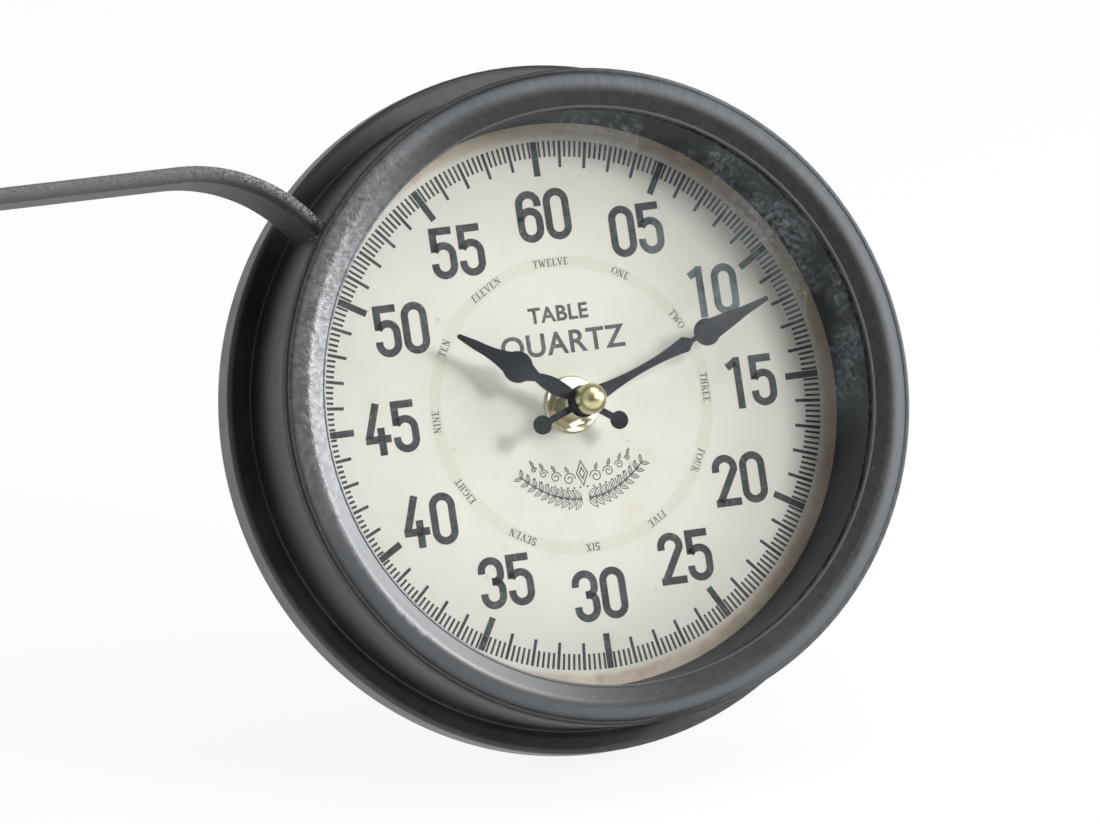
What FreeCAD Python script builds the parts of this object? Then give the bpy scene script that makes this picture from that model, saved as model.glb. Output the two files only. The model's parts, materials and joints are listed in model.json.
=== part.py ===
import FreeCAD, Part
import math
import os
import Sketcher

# Double table clock: two round steel clock heads joined by an arched bar, leaning back on two feet.
# Shared frame: +Z up, +X to the viewer's right, faces towards -Y, origin on the table midway.
# Each head is drawn in its own frame: X right, Y up the dial, Z out of the dial towards the viewer.

doc = FreeCAD.newDocument("double_table_clock")
sheet = doc.addObject("Spreadsheet::Sheet", "Sizes")
nodes = []
rows = []


class Size:
    """A number that carries the sheet formula it comes from, so sketches can be bound to it."""

    def __init__(self, value, formula):
        self.value = value
        self.formula = formula

    def __add__(self, other):
        other = as_size(other)
        return Size(self.value + other.value, f"({self.formula} + {other.formula})")

    def __sub__(self, other):
        other = as_size(other)
        return Size(self.value - other.value, f"({self.formula} - {other.formula})")

    def __mul__(self, other):
        other = as_size(other)
        return Size(self.value * other.value, f"({self.formula} * {other.formula})")

    def __truediv__(self, other):
        other = as_size(other)
        return Size(self.value / other.value, f"({self.formula} / {other.formula})")

    def __neg__(self):
        return Size(-self.value, f"(0 - {self.formula})")

    def __radd__(self, other):
        return as_size(other) + self

    def __rsub__(self, other):
        return as_size(other) - self

    def __rmul__(self, other):
        return as_size(other) * self


def as_size(number):
    """Take a plain number or a Size and give a Size."""
    if isinstance(number, Size):
        return number
    return Size(float(number), f"({float(number)})")


def rise(radius, across):
    """Height of a circle's edge above its middle, at a distance across from the middle."""
    square = radius * radius - across * across
    return Size(math.sqrt(square.value), f"sqrt({square.formula})")


def sine(angle):
    return Size(math.sin(math.radians(angle.value)), f"sin({angle.formula})")


def cosine(angle):
    return Size(math.cos(math.radians(angle.value)), f"cos({angle.formula})")


def size(name, value, note):
    """Write one named row in the sheet and give it back as a Size."""
    value = as_size(value)
    rows.append(name)
    row = len(rows)
    sheet.set(f"A{row}", name)
    sheet.set(f"B{row}", "=" + value.formula.replace("@", ""))
    sheet.setAlias(f"B{row}", name)
    sheet.set(f"C{row}", note)
    return Size(value.value, "@" + name)


def bind(target, path, value):
    """Tie one property of an object to the sheet."""
    value = as_size(value)
    target.setExpression(path, value.formula.replace("@", "Sizes."))


# Fits
running_gap = size("running_gap", 0.05, "radial gap of a shaft that turns in its hole")
press_gap = size("press_gap", 0.02, "radial gap drawn where a piece is pressed, screwed or welded on")
loose_gap = size("loose_gap", 0.4, "radial gap of a piece that is only laid in place")

# Head, measured out from the dial axis and forward of the dial face
lean_back = size("lean_back", 24.35, "lean of the faces, degrees from upright")
wall = size("wall", 1.2, "steel sheet of the drum")
neck_radius = size("neck_radius", 84.2, "drum neck behind the bezel")
neck_gap = size("neck_gap", 83.6, "clear space between the two necks")
neck_depth = size("neck_depth", 9.1, "dial face to the rim's front flange")
neck_bend = size("neck_bend", 0.8, "hollow bend between neck and flange")
flange_width = size("flange_width", 6.3, "step out from the neck to the rim")
rim_bend = size("rim_bend", 1.6, "outer bend of the rim's corners")
rim_width = size("rim_width", 10.3, "rim's side wall, front to back")
cover_lip = size("cover_lip", 9, "inward lip that the back cover is screwed to")
bezel_sheet = size("bezel_sheet", 0.9, "bezel metal outside the neck")
bezel_plane = size("bezel_plane", 23.6, "dial face to the bezel's outer edge")
bezel_skirt = size("bezel_skirt", 3.2, "length of bezel that laps over the neck")
bead_width = size("bead_width", 1.3, "rolled bead round the bezel's outer edge")
bead_rise = size("bead_rise", 0.3, "top of the bead above the bezel's outer edge")
crest_inset = size("crest_inset", 5.6, "bezel's outer edge in to its ridge")
crest_rise = size("crest_rise", 2.1, "ridge above the bezel's outer edge")
crest_round = size("crest_round", 1.1, "half of the ridge's rounded top")
crest_drop = size("crest_drop", 0.2, "fall of the ridge's rounded top")
shoulder_bulge = size("shoulder_bulge", 0.25, "swell of the shoulder between ridge and bead")
lip_lap = size("lip_lap", 4.3, "bezel metal in front of the glass edge")
lip_rise = size("lip_rise", 0.9, "opening's edge above the bezel's outer edge")
lip_roll = size("lip_roll", 0.8, "rolled edge of the opening")
lip_fall = size("lip_fall", 0.12, "hollow behind the opening's rolled edge")
lip_thickness = size("lip_thickness", 1.1, "bezel metal in front of the glass")
glass_setback = size("glass_setback", 5.3, "neck's outside in to the glass edge")
glass_thickness = size("glass_thickness", 2.5, "glass disc")
glass_stand = size("glass_stand", 1.0, "drum's front edge ahead of the back of the glass")
ring_flare = size("ring_flare", 0.8, "spread of the dark ring from dial to glass")
card_thickness = size("card_thickness", 0.5, "printed dial card")
plate_thickness = size("plate_thickness", 2.5, "hardboard disc behind the card")
seat_width = size("seat_width", 7, "ledge that the dial rests against")
seat_length = size("seat_length", 5, "length of the dial seat's weld collar")
cover_thickness = size("cover_thickness", 1.0, "sheet of the back cover")
cover_inset = size("cover_inset", 3.2, "cover's edge in from the rim")
window_gap = size("window_gap", 3, "room between the movement and the cover's window")
window_corner = size("window_corner", 6, "rounding of the window")

# Places on the head that follow from the sizes above
head_pitch = size("head_pitch", neck_radius * 2 + neck_gap, "distance between the two dial axes")
rim_radius = size("rim_radius", neck_radius + flange_width, "wide rim at the back of the drum")
bezel_radius = size("bezel_radius", neck_radius + bezel_sheet, "outer edge of the bezel")
crest_radius = size("crest_radius", bezel_radius - crest_inset, "ridge of the bezel")
glass_radius = size("glass_radius", neck_radius - glass_setback, "glass disc")
lip_radius = size("lip_radius", glass_radius - lip_lap, "bezel opening")
ring_foot = size("ring_foot", lip_radius - ring_flare, "inside of the dark ring at the dial")
rear_plane = size("rear_plane", neck_depth + rim_width, "dial face to the back of the rim")
cover_plane = size("cover_plane", rear_plane + cover_thickness, "dial face to the outside of the cover")
lip_under = size("lip_under", bezel_plane + lip_rise - lip_thickness, "front of the glass")
glass_back = size("glass_back", lip_under - glass_thickness, "back of the glass")
neck_front = size("neck_front", glass_back + glass_stand, "front edge of the drum")
bore = size("bore", neck_radius - wall, "inside of the drum neck")
dial_radius = size("dial_radius", bore - loose_gap, "dial card and plate")
plate_back = size("plate_back", card_thickness + plate_thickness, "back of the dial plate")
lean_sine = size("lean_sine", sine(lean_back), "sine of the lean")
lean_cosine = size("lean_cosine", cosine(lean_back), "cosine of the lean")
rim_corner = size("rim_corner", rim_bend * (lean_cosine + lean_sine - 1), "height lost to the rim's bend")
axis_height = size(
    "axis_height", rim_radius * lean_cosine + rear_plane * lean_sine - rim_corner,
    "dial centre above the table, with the rim's rear corner on the table")
front_reach = size(
    "front_reach", bezel_radius * lean_sine + bezel_plane * lean_cosine, "dial centre to the frontmost edge")

# Movement
battery_radius = size("battery_radius", 7.25, "AA cell")
battery_length = size("battery_length", 50.5, "AA cell with its button")
battery_bevel = size("battery_bevel", 0.6, "rounded ends of the cell")
battery_gap = size("battery_gap", 0.8, "room around the cell")
battery_float = size("battery_float", 0.2, "room under the cell")
button_radius = size("button_radius", 2.75, "button of the cell")
button_length = size("button_length", 1.3, "button of the cell")
contact_room = size("contact_room", 1.55, "room for a contact at each end of the cell")
contact_sheet = size("contact_sheet", 0.5, "sheet of the contacts")
contact_half = size("contact_half", 5, "half of a contact's height")
contact_nose = size("contact_nose", 2, "half of the bump that touches the cell")
contact_depth = size("contact_depth", 8, "contacts, front to back")
module_wall = size("module_wall", 1.2, "moulded wall of the housing")
module_depth = size("module_depth", 16, "movement housing with its cover")
gasket_thickness = size("gasket_thickness", 0.8, "rubber between movement and dial plate")
gasket_side = size("gasket_side", 38, "square rubber gasket")
bushing_radius = size("bushing_radius", 4, "threaded brass bushing, M8")
bushing_front = size("bushing_front", 7.4, "dial face to the bushing's front end")
bushing_bevel = size("bushing_bevel", 0.5, "bevel of the bushing's front end")
washer_radius = size("washer_radius", 7.6, "round brass washer on the dial")
washer_thickness = size("washer_thickness", 1.0, "round brass washer on the dial")
washer_bevel = size("washer_bevel", 0.5, "bevel of the washer's edge")
nut_width = size("nut_width", 11, "brass nut across flats")
nut_thickness = size("nut_thickness", 2.6, "brass nut")
hour_tube_radius = size("hour_tube_radius", 2.5, "tube that carries the hour hand")
arbor_radius = size("arbor_radius", 1.7, "arbor that carries the minute hand")
arbor_tip_radius = size("arbor_tip_radius", 1.2, "threaded end of the minute arbor")
arbor_tip_length = size("arbor_tip_length", 3, "threaded end of the minute arbor")
pivot_radius = size("pivot_radius", 0.6, "turned pivots of the wheels")
pivot_length = size("pivot_length", 3, "turned pivots of the wheels in their bosses")
pivot_depth = size("pivot_depth", 0.8, "blind holes for the front pivots")
pivot_tip = size("pivot_tip", 0.7, "front pivots in their blind holes")
boss_radius = size("boss_radius", 2.2, "bearing bosses of the cover")
boss_gap = size("boss_gap", 1.0, "room between the back wheels and the bosses")
collar_radius = size("collar_radius", 1.1, "collars that keep the wheels off the bosses")
end_play = size("end_play", 0.15, "free movement of a wheel along its axis")
wheel_thickness = size("wheel_thickness", 1.0, "toothed wheels")
wheel_gap = size("wheel_gap", 0.9, "room between the two layers of wheels")
wheel_lift = size("wheel_lift", 0.6, "hour wheel off the housing's floor")
tube_proud = size("tube_proud", 0.2, "hour tube's end ahead of its hand")
pinion_lap = size("pinion_lap", 0.15, "pinion's overhang either side of its wheel")
gear_module = size("gear_module", 0.3, "tooth size")
knob_radius = size("knob_radius", 4.5, "time setting knob")
knob_thickness = size("knob_thickness", 1.8, "time setting knob")
knob_lift = size("knob_lift", 0.4, "knob off the movement's back")
knob_shaft = size("knob_shaft", 1.0, "shaft of the knob")
board_front = size("board_front", 10, "dial face to the circuit board")
board_thickness = size("board_thickness", 1, "circuit board")
board_half_width = size("board_half_width", 8.5, "half of the circuit board's width")
board_half_height = size("board_half_height", 7, "half of the circuit board's height")
board_gap = size("board_gap", 1.4, "room between the board and the housing's walls")
board_post = size("board_post", 1.5, "posts that carry the board")
post_reach = size("post_reach", 6, "posts either side of the board's middle")
chip_height = size("chip_height", 1.2, "chips on the board")
chip_radius = size("chip_radius", 2.2, "sealed chip on the board")
chip_offset = size("chip_offset", 3, "sealed chip left of the board's middle")
crystal_half_width = size("crystal_half_width", 1, "half of the crystal's width")
crystal_half_height = size("crystal_half_height", 3, "half of the crystal's height")
crystal_offset = size("crystal_offset", 4, "crystal right of the board's middle")
coil_flange = size("coil_flange", 4, "half of the coil former's square flange")
coil_sheet = size("coil_sheet", 1, "flanges of the coil former")
coil_length = size("coil_length", 16, "coil with its flanges")
coil_margin = size("coil_margin", 0.7, "flange edge proud of the winding")
coil_gap = size("coil_gap", 4, "room between the coil and the housing's walls")
minute_teeth = 10
motion_teeth = 30
motion_pinion_teeth = 8
hour_teeth = 32
knob_angle = 30
pressure_angle = 20
tooth_tip = 0.5
tooth_root = 0.95
tooth_slack = 0.2

# Places in the movement that follow from the sizes above
module_half = size(
    "module_half", battery_length / 2 + contact_room + module_wall, "half of the square movement housing")
module_inner = size("module_inner", module_half - module_wall, "half of the housing's inside")
window_half = size("window_half", module_half + window_gap, "half of the cover's window")
module_front = size("module_front", plate_back + gasket_thickness, "dial face to the housing")
module_floor = size("module_floor", module_front + module_wall, "dial face to the inside of the housing")
module_back = size("module_back", module_front + module_depth, "dial face to the back of the movement")
battery_row = size("battery_row", module_inner - battery_gap - battery_radius, "cell below the dial axis")
battery_axis = size("battery_axis", module_floor + battery_float + battery_radius, "dial face to the cell")
battery_shelf = size("battery_shelf", battery_row - battery_radius - battery_gap, "top of the cell's space")
wheel_space = size("wheel_space", battery_shelf - module_wall, "foot of the wheel space below the dial axis")
board_right = size("board_right", module_inner - board_gap - board_half_width, "board right of the axis")
board_up = size("board_up", board_half_height + board_gap - wheel_space, "board above the axis")
coil_left = size("coil_left", module_inner - coil_gap - coil_flange, "coil left of the axis")
coil_up = size("coil_up", module_inner - coil_gap - coil_length / 2, "coil above the axis")
gear_distance = size("gear_distance", gear_module * (minute_teeth + motion_teeth) / 2, "meshing axes apart")
knob_right = size("knob_right", gear_distance * math.cos(math.radians(knob_angle)), "knob right of the axis")
knob_up = size("knob_up", gear_distance * (1 + math.sin(math.radians(knob_angle))), "knob above the axis")
wheel_front = size("wheel_front", module_floor + wheel_lift, "dial face to the hour wheel")
pinion_plane = size("pinion_plane", wheel_front + wheel_thickness + wheel_gap, "dial face to the pinion")
boss_front = size("boss_front", pinion_plane + wheel_thickness + boss_gap, "dial face to the bosses")

# Hands
hand_thickness = size("hand_thickness", 0.5, "sheet of the hands")
hand_tip = size("hand_tip", 0.65, "rounded tip of the hands")
hour_angle = size("hour_angle", 56.3, "hour hand at rest, degrees before twelve")
hour_length = size("hour_length", 37.8, "hour hand from axis to tip")
hour_lift = size("hour_lift", 1.4, "hour hand ahead of the bushing")
hour_hub = size("hour_hub", 4.2, "disc round the hour hand's hole")
hour_stem = size("hour_stem", 0.9, "half of the hour hand's tail arm")
hour_tail = size("hour_tail", 10.9, "axis to the tail disc of the hour hand")
hour_disc = size("hour_disc", 2.4, "tail disc of the hour hand")
hour_arm = size("hour_arm", 1.5, "half of the hour hand beside its hub")
hour_swell = size("hour_swell", 1.95, "half of the small swelling before the neck")
hour_swell_place = size("hour_swell_place", 10.8, "axis to the small swelling")
hour_neck = size("hour_neck", 1.2, "half of the hour hand's neck")
hour_neck_place = size("hour_neck_place", 13.8, "axis to the hour hand's neck")
hour_bulb = size("hour_bulb", 4.15, "round bulb of the hour hand")
hour_bulb_place = size("hour_bulb_place", 19.7, "axis to the hour hand's bulb")
hour_shoulder = size("hour_shoulder", 2.3, "half of the bulb where its neck flares in")
hour_blade_root = size("hour_blade_root", 2.9, "half of the blade where it leaves the bulb")
hour_hollow = size("hour_hollow", 0.4, "hollow of the blade's long sides")
hour_blade = size("hour_blade", 1.3, "half of the hour hand's blade")
hour_blade_length = size("hour_blade_length", 6, "straight end of the hour hand's blade")
minute_angle = size("minute_angle", -69.2, "minute hand at rest, degrees before twelve")
minute_length = size("minute_length", 57.8, "minute hand from axis to tip")
minute_lift = size("minute_lift", 2.5, "minute hand ahead of the hour hand")
minute_hub = size("minute_hub", 3.8, "disc round the minute hand's hole")
minute_stem = size("minute_stem", 0.9, "half of the minute hand's tail arm")
minute_tail = size("minute_tail", 13.8, "axis to the tail disc of the minute hand")
minute_disc = size("minute_disc", 2.5, "tail disc of the minute hand")
minute_arm = size("minute_arm", 2.4, "half of the minute hand beside its hub")
minute_waist = size("minute_waist", 1.0, "half of the minute hand's slimmest place")
minute_waist_place = size("minute_waist_place", 15.6, "axis to the slimmest place")
minute_flare = size("minute_flare", 2.1, "half of the flare before the neck")
minute_flare_place = size("minute_flare_place", 31.4, "axis to the flare")
minute_neck = size("minute_neck", 0.65, "half of the minute hand's neck")
minute_neck_place = size("minute_neck_place", 33.5, "axis to the minute hand's neck")
minute_bulb = size("minute_bulb", 3.6, "round bulb of the minute hand")
minute_bulb_place = size("minute_bulb_place", 38.3, "axis to the minute hand's bulb")
minute_blade_root = size("minute_blade_root", 2.85, "half of the blade where it leaves the bulb")
minute_blade = size("minute_blade", 1.2, "half of the minute hand's blade")
minute_blade_length = size("minute_blade_length", 6.8, "straight end of the minute hand's blade")
cap_radius = size("cap_radius", 4.1, "brass ball on the hands")
cap_foot = size("cap_foot", 2.3, "flat foot of the brass ball")
cap_hole = size("cap_hole", 2.6, "depth of the brass ball's hole")
hour_plane = size("hour_plane", bushing_front + hour_lift, "dial face to the hour hand")
minute_plane = size("minute_plane", hour_plane + minute_lift, "dial face to the minute hand")

# Bridge and feet
bar_thickness = size("bar_thickness", 4.2, "flat bar of the bridge")
bar_width = size("bar_width", 20, "flat bar of the bridge")
bar_edge = size("bar_edge", 1.4, "rounding of the bar's long edges")
bar_setback = size("bar_setback", 3.4, "bar's front edge behind the bezel")
arch_radius = size("arch_radius", 44.6, "outer bend of the bridge")
arch_flat = size("arch_flat", 49, "straight middle of the bridge")
arch_height = size("arch_height", 72.1, "top of the bridge above the dial axes, along the faces")
arch_sweep = size("arch_sweep", 65, "bend at each end of the bridge, degrees, cut back to the neck")
foot_width = size("foot_width", 25, "flat bar of the feet")
foot_thickness = size("foot_thickness", 3, "flat bar of the feet")
foot_bend = size("foot_bend", 1.5, "inner bend of the feet")
foot_inset = size("foot_inset", 25.2, "lower foot screw in from the rim")
foot_screw_pitch = size("foot_screw_pitch", 18, "two screws of a foot apart")
foot_end = size("foot_end", 9, "foot's top beyond its upper screw")
foot_screw_second = size("foot_screw_second", rim_radius - foot_inset, "lower screw below the axis")
foot_screw_first = size("foot_screw_first", foot_screw_second - foot_screw_pitch, "upper screw, likewise")
foot_top = size("foot_top", foot_screw_first - foot_end, "top of the foot below the dial axis")

# Fasteners
cover_screw_radius = size("cover_screw_radius", 1.5, "M3 screws of the cover")
cover_head_radius = size("cover_head_radius", 2.85, "heads of the cover's screws")
cover_head_side = size("cover_head_side", 0.7, "straight side of those heads")
cover_head_height = size("cover_head_height", 1.6, "heads of the cover's screws")
foot_screw_radius = size("foot_screw_radius", 2, "M4 screws of the feet")
foot_head_radius = size("foot_head_radius", 3.8, "heads of the feet's screws")
foot_head_side = size("foot_head_side", 1.0, "straight side of those heads")
foot_head_height = size("foot_head_height", 2.2, "heads of the feet's screws")
head_crown = size("head_crown", 1.2, "slope of a screw head's crown, inward")
foot_nut_width = size("foot_nut_width", 7, "M4 nuts across flats")
foot_nut_height = size("foot_nut_height", 3.2, "M4 nuts of the feet")
foot_screw_end = size("foot_screw_end", 1, "screw's end beyond its nut")
screw_ring = size("screw_ring", rim_radius - wall - cover_lip / 2, "circle that the cover's screws stand on")
cover_screw_count = 4


def place(body, side, right=0, up=0, out=0, spin=0):
    """Stand a piece in its head's frame: side is -1 left, +1 right and 0 midway."""
    across = side * head_pitch / 2 + right
    back = up * lean_sine - out * lean_cosine
    height = axis_height + up * lean_cosine + out * lean_sine
    centre = "; ".join(as_size(value).formula for value in (across, back, height))
    lean = f"create(<<rotation>>; create(<<vector>>; 1; 0; 0); 90 - {lean_back.formula})"
    turn = f"create(<<rotation>>; create(<<vector>>; 0; 0; 1); {as_size(spin).formula})"
    formula = f"create(<<placement>>; create(<<vector>>; {centre}); {lean} * {turn})"
    body.setExpression("Placement", formula.replace("@", "Sizes."))


def new_body(label):
    body = doc.addObject("PartDesign::Body", label)
    body.Label = label
    body.AllowCompound = True
    nodes.append(body)
    return body


def new_sketch(body, role, level=0):
    """Put a sketch on one of the body's own planes, level away from it."""
    plane = next(feature for feature in body.Origin.OriginFeatures if feature.Role == role)
    sketch = body.newObject("Sketcher::SketchObject", body.Label + "_sketch")
    sketch.AttachmentSupport = [(plane, "")]
    sketch.MapMode = "FlatFace"
    bind(sketch, "AttachmentOffset.Base.z", level)
    return sketch


def pin(sketch, item, point, across, up):
    """Hold one sketch point at sized distances from the sketch's origin."""
    for kind, axis, value in (("DistanceX", -2, across), ("DistanceY", -1, up)):
        value = as_size(value)
        if abs(value.value) < 1e-9:
            sketch.addConstraint(Sketcher.Constraint("PointOnObject", item, point, axis))
            continue
        index = sketch.addConstraint(Sketcher.Constraint(kind, -1, 1, item, point, value.value))
        bind(sketch, f"Constraints[{index}]", value)


def spot(corner):
    """Give a corner's place as a plain vector."""
    return FreeCAD.Vector(as_size(corner[0]).value, as_size(corner[1]).value, 0)


def outline(sketch, corners):
    """Draw a closed edge through the corners; one marked via is the middle of an arc."""
    stops = [corner for corner in corners if len(corner) == 2]
    edges = []
    for index, corner in enumerate(corners):
        following = corners[(index + 1) % len(corners)]
        if len(corner) == 3:
            continue
        if len(following) == 3:
            after = corners[(index + 2) % len(corners)]
            item = sketch.addGeometry(Part.Arc(spot(corner), spot(following), spot(after)))
            starts_here = (sketch.getPoint(item, 1) - spot(corner)).Length < 1e-6
            edges.append((item, 1 if starts_here else 2, following))
        else:
            item = sketch.addGeometry(Part.LineSegment(spot(corner), spot(following)))
            edges.append((item, 1, None))
    for index, (item, begin, middle) in enumerate(edges):
        next_item, next_begin, _ = edges[(index + 1) % len(edges)]
        sketch.addConstraint(Sketcher.Constraint("Coincident", item, 3 - begin, next_item, next_begin))
    for (item, begin, middle), corner in zip(edges, stops):
        pin(sketch, item, begin, *corner)
        if middle:
            mark = sketch.addGeometry(Part.Point(spot(middle)), True)
            pin(sketch, mark, 1, middle[0], middle[1])
            sketch.addConstraint(Sketcher.Constraint("PointOnObject", mark, 1, item))


def rounded(corner, radius, before, after):
    """Round a square corner: before and after are the unit steps in and out of it."""
    near = 1 - math.sqrt(0.5)
    start = (corner[0] - radius * before[0], corner[1] - radius * before[1])
    end = (corner[0] + radius * after[0], corner[1] + radius * after[1])
    middle = (
        corner[0] + radius * near * (after[0] - before[0]),
        corner[1] + radius * near * (after[1] - before[1]),
        "via")
    return [start, middle, end]


def rectangle(sketch, half_width, half_height, across=0, up=0):
    outline(sketch, [
        (across - half_width, up - half_height),
        (across + half_width, up - half_height),
        (across + half_width, up + half_height),
        (across - half_width, up + half_height)])


def circle(sketch, radius, across=0, up=0):
    radius = as_size(radius)
    item = sketch.addGeometry(Part.Circle(spot((across, up)), FreeCAD.Vector(0, 0, 1), radius.value))
    pin(sketch, item, 3, across, up)
    index = sketch.addConstraint(Sketcher.Constraint("Radius", item, radius.value))
    bind(sketch, f"Constraints[{index}]", radius)


def pad(body, sketch, length, backward=False):
    feature = body.newObject("PartDesign::Pad", body.Label + "_pad")
    feature.Profile = sketch
    feature.Reversed = backward
    bind(feature, "Length", length)
    return feature


def pocket(body, sketch, depth=None, forward=False):
    """Cut a sketch into the body, all the way through unless a depth is given."""
    feature = body.newObject("PartDesign::Pocket", body.Label + "_pocket")
    feature.Profile = sketch
    feature.Reversed = forward
    if depth is None:
        feature.Type = "ThroughAll"
        feature.Midplane = True
    else:
        bind(feature, "Length", depth)
    return feature


def revolve(body, corners, axis="V_Axis", role="XZ_Plane"):
    sketch = new_sketch(body, role)
    outline(sketch, corners)
    feature = body.newObject("PartDesign::Revolution", body.Label + "_turned")
    feature.Profile = sketch
    feature.ReferenceAxis = (sketch, [axis])
    feature.Angle = 360
    return feature


def revolve_off_axis(body, axis, corners):
    """Turn a profile about an upright line that stands off the body's own axis."""
    sketch = new_sketch(body, "XZ_Plane")
    outline(sketch, [(axis + corner[0],) + tuple(corner[1:]) for corner in corners])
    line = sketch.addGeometry(Part.LineSegment(spot((axis, -1)), spot((axis, 1))), True)
    pin(sketch, line, 1, axis, -1)
    pin(sketch, line, 2, axis, 1)
    feature = body.newObject("PartDesign::Revolution", body.Label + "_turned")
    feature.Profile = sketch
    feature.ReferenceAxis = (sketch, ["Axis0"])
    feature.Angle = 360
    return sketch, feature


def repeat_around(body, feature, sketch, count, axis="N_Axis"):
    """Repeat a feature evenly about the body's own Z axis."""
    pattern = body.newObject("PartDesign::PolarPattern", body.Label + "_around")
    pattern.Originals = [feature]
    pattern.Axis = (sketch, [axis])
    pattern.Angle = 360
    pattern.Occurrences = count
    body.Tip = pattern


def repeat_along(body, feature, sketch, axis, step, reverse=False):
    """Make a second copy of a feature one step along a sketch axis."""
    pattern = body.newObject("PartDesign::LinearPattern", body.Label + "_along")
    pattern.Originals = [feature]
    pattern.Direction = (sketch, [axis])
    pattern.Reversed = reverse
    pattern.Occurrences = 2
    bind(pattern, "Length", step)
    body.Tip = pattern


def bar_edges(feature, places):
    """Name the edges across a bar's width that stand at the given places."""
    names = []
    for index, edge in enumerate(feature.Shape.Edges):
        middle = edge.CenterOfMass
        for place_up, place_out in places:
            off = math.hypot(middle.y - as_size(place_up).value, middle.z - as_size(place_out).value)
            if off < 0.01 and abs(middle.x) < 0.01:
                names.append(f"Edge{index + 1}")
    return names


def long_edges(feature, levels):
    """Name the edges that run along a bar on its front and back faces."""
    names = []
    for index, edge in enumerate(feature.Shape.Edges):
        box = edge.BoundBox
        for level in levels:
            flat = abs(box.ZMin - level.value) < 0.01 and abs(box.ZMax - level.value) < 0.01
            if flat and edge.Length > bar_width.value:
                names.append(f"Edge{index + 1}")
    return names


def round_edges(body, feature, names, radius):
    fillet = body.newObject("PartDesign::Fillet", body.Label + "_bend")
    fillet.Base = (feature, names)
    bind(fillet, "Radius", radius)
    doc.recompute()


def disc(body, radius, front, thickness, hole=None):
    """Pad a flat disc backward from its front face, with a hole on its axis if one is given."""
    sketch = new_sketch(body, "XY_Plane", front)
    circle(sketch, radius)
    if hole is not None:
        circle(sketch, hole)
    return pad(body, sketch, thickness, backward=True)


def toothed_wheel(body, teeth, front, thickness, phase, space_first):
    """Pad a disc and cut involute spaces into it; phase is where the first space or tooth points."""
    pitch = teeth / 2
    pressure = math.radians(pressure_angle)
    base = pitch * math.cos(pressure)
    tip = pitch + tooth_tip
    root = pitch - tooth_root
    disc(body, gear_module * tip, -front, thickness)

    def involute(angle):
        return math.tan(angle) - angle

    def half_space(radius):
        angle = math.acos(min(1, base / radius))
        tooth = math.pi / (2 * teeth) - tooth_slack / (2 * pitch) + involute(pressure) - involute(angle)
        return math.pi / teeth - tooth

    flank = [root, (root + tip) / 2, tip, tip + 1]
    widths = [half_space(root), half_space(flank[1]), half_space(tip), half_space(tip)]
    middle = math.radians(phase) + (0 if space_first else math.pi / teeth)
    rising = [(radius, middle - width) for radius, width in zip(flank, widths)]
    falling = [(radius, middle + width) for radius, width in zip(reversed(flank), reversed(widths))]
    sketch = new_sketch(body, "XY_Plane", -front)
    outline(sketch, [
        (gear_module * (radius * math.cos(angle)), gear_module * (radius * math.sin(angle)))
        for radius, angle in rising + falling])
    space = pocket(body, sketch, thickness)
    repeat_around(body, space, sketch, teeth)


def stepped_shaft(body, steps):
    """Turn a shaft from (radius, place) steps, back to front; the last step only marks its end."""
    corners = [(0, steps[0][1])]
    for (radius, start), (_, end) in zip(steps, steps[1:]):
        corners += [(radius, start), (radius, end)]
    corners.append((0, steps[-1][1]))
    revolve(body, corners)


def mirrored(half):
    """Run up the right side of a shape and back down its left side."""
    back = [(-corner[0],) + tuple(corner[1:]) for corner in reversed(half) if spot(corner).x > 1e-9]
    return half + back


def make_case(name, side):
    """Drum spun from sheet: neck, step out to the wide rim and an inward lip at the back."""
    body = new_body(name + "_case")
    inner = rim_radius - wall
    lip_edge = rim_radius - cover_lip
    corners = [(bore, neck_front), (neck_radius, neck_front)]
    corners += rounded((neck_radius, -neck_depth), neck_bend, (0, -1), (1, 0))
    corners += rounded((rim_radius, -neck_depth), rim_bend, (1, 0), (0, -1))
    corners += rounded((rim_radius, -rear_plane), rim_bend, (0, -1), (-1, 0))
    corners += [
        (lip_edge, -rear_plane), (lip_edge, wall - rear_plane),
        (inner, wall - rear_plane), (inner, -neck_depth - wall)]
    corners += rounded((bore, -neck_depth - wall), neck_bend + wall, (-1, 0), (0, 1))
    revolve(body, corners)
    holes = new_sketch(body, "XY_Plane", -rear_plane)
    circle(holes, cover_screw_radius + press_gap, screw_ring * math.sqrt(0.5), screw_ring * math.sqrt(0.5))
    cut = pocket(body, holes, wall, forward=True)
    repeat_around(body, cut, holes, cover_screw_count)
    place(body, side)


def make_bezel(name, side):
    """Ring with a rolled bead, a rounded ridge, a hollow bevel and a rolled opening."""
    body = new_body(name + "_bezel")
    crest = bezel_plane + crest_rise
    lip_top = bezel_plane + lip_rise
    groove = bezel_radius - bead_width
    ridge = crest_radius + crest_round
    skirt = neck_radius + running_gap
    seat = glass_radius + loose_gap
    slope = crest - crest_drop
    revolve(body, [
        (lip_radius, lip_under),
        (lip_radius, lip_top - lip_fall),
        (lip_radius + lip_roll / 2, lip_top, "via"),
        (lip_radius + lip_roll, lip_top - lip_fall),
        (crest_radius - crest_round, slope),
        (crest_radius, crest, "via"),
        (ridge, slope),
        ((ridge + groove) / 2 + shoulder_bulge, (slope + bezel_plane) / 2 + shoulder_bulge, "via"),
        (groove, bezel_plane),
        (bezel_radius - bead_width / 2, bezel_plane + bead_rise, "via"),
        (bezel_radius, bezel_plane - bead_rise),
        (bezel_radius, bezel_plane - bezel_skirt),
        (skirt, bezel_plane - bezel_skirt),
        (skirt, neck_front),
        (seat, neck_front),
        (seat, lip_under)])
    place(body, side)


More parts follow.
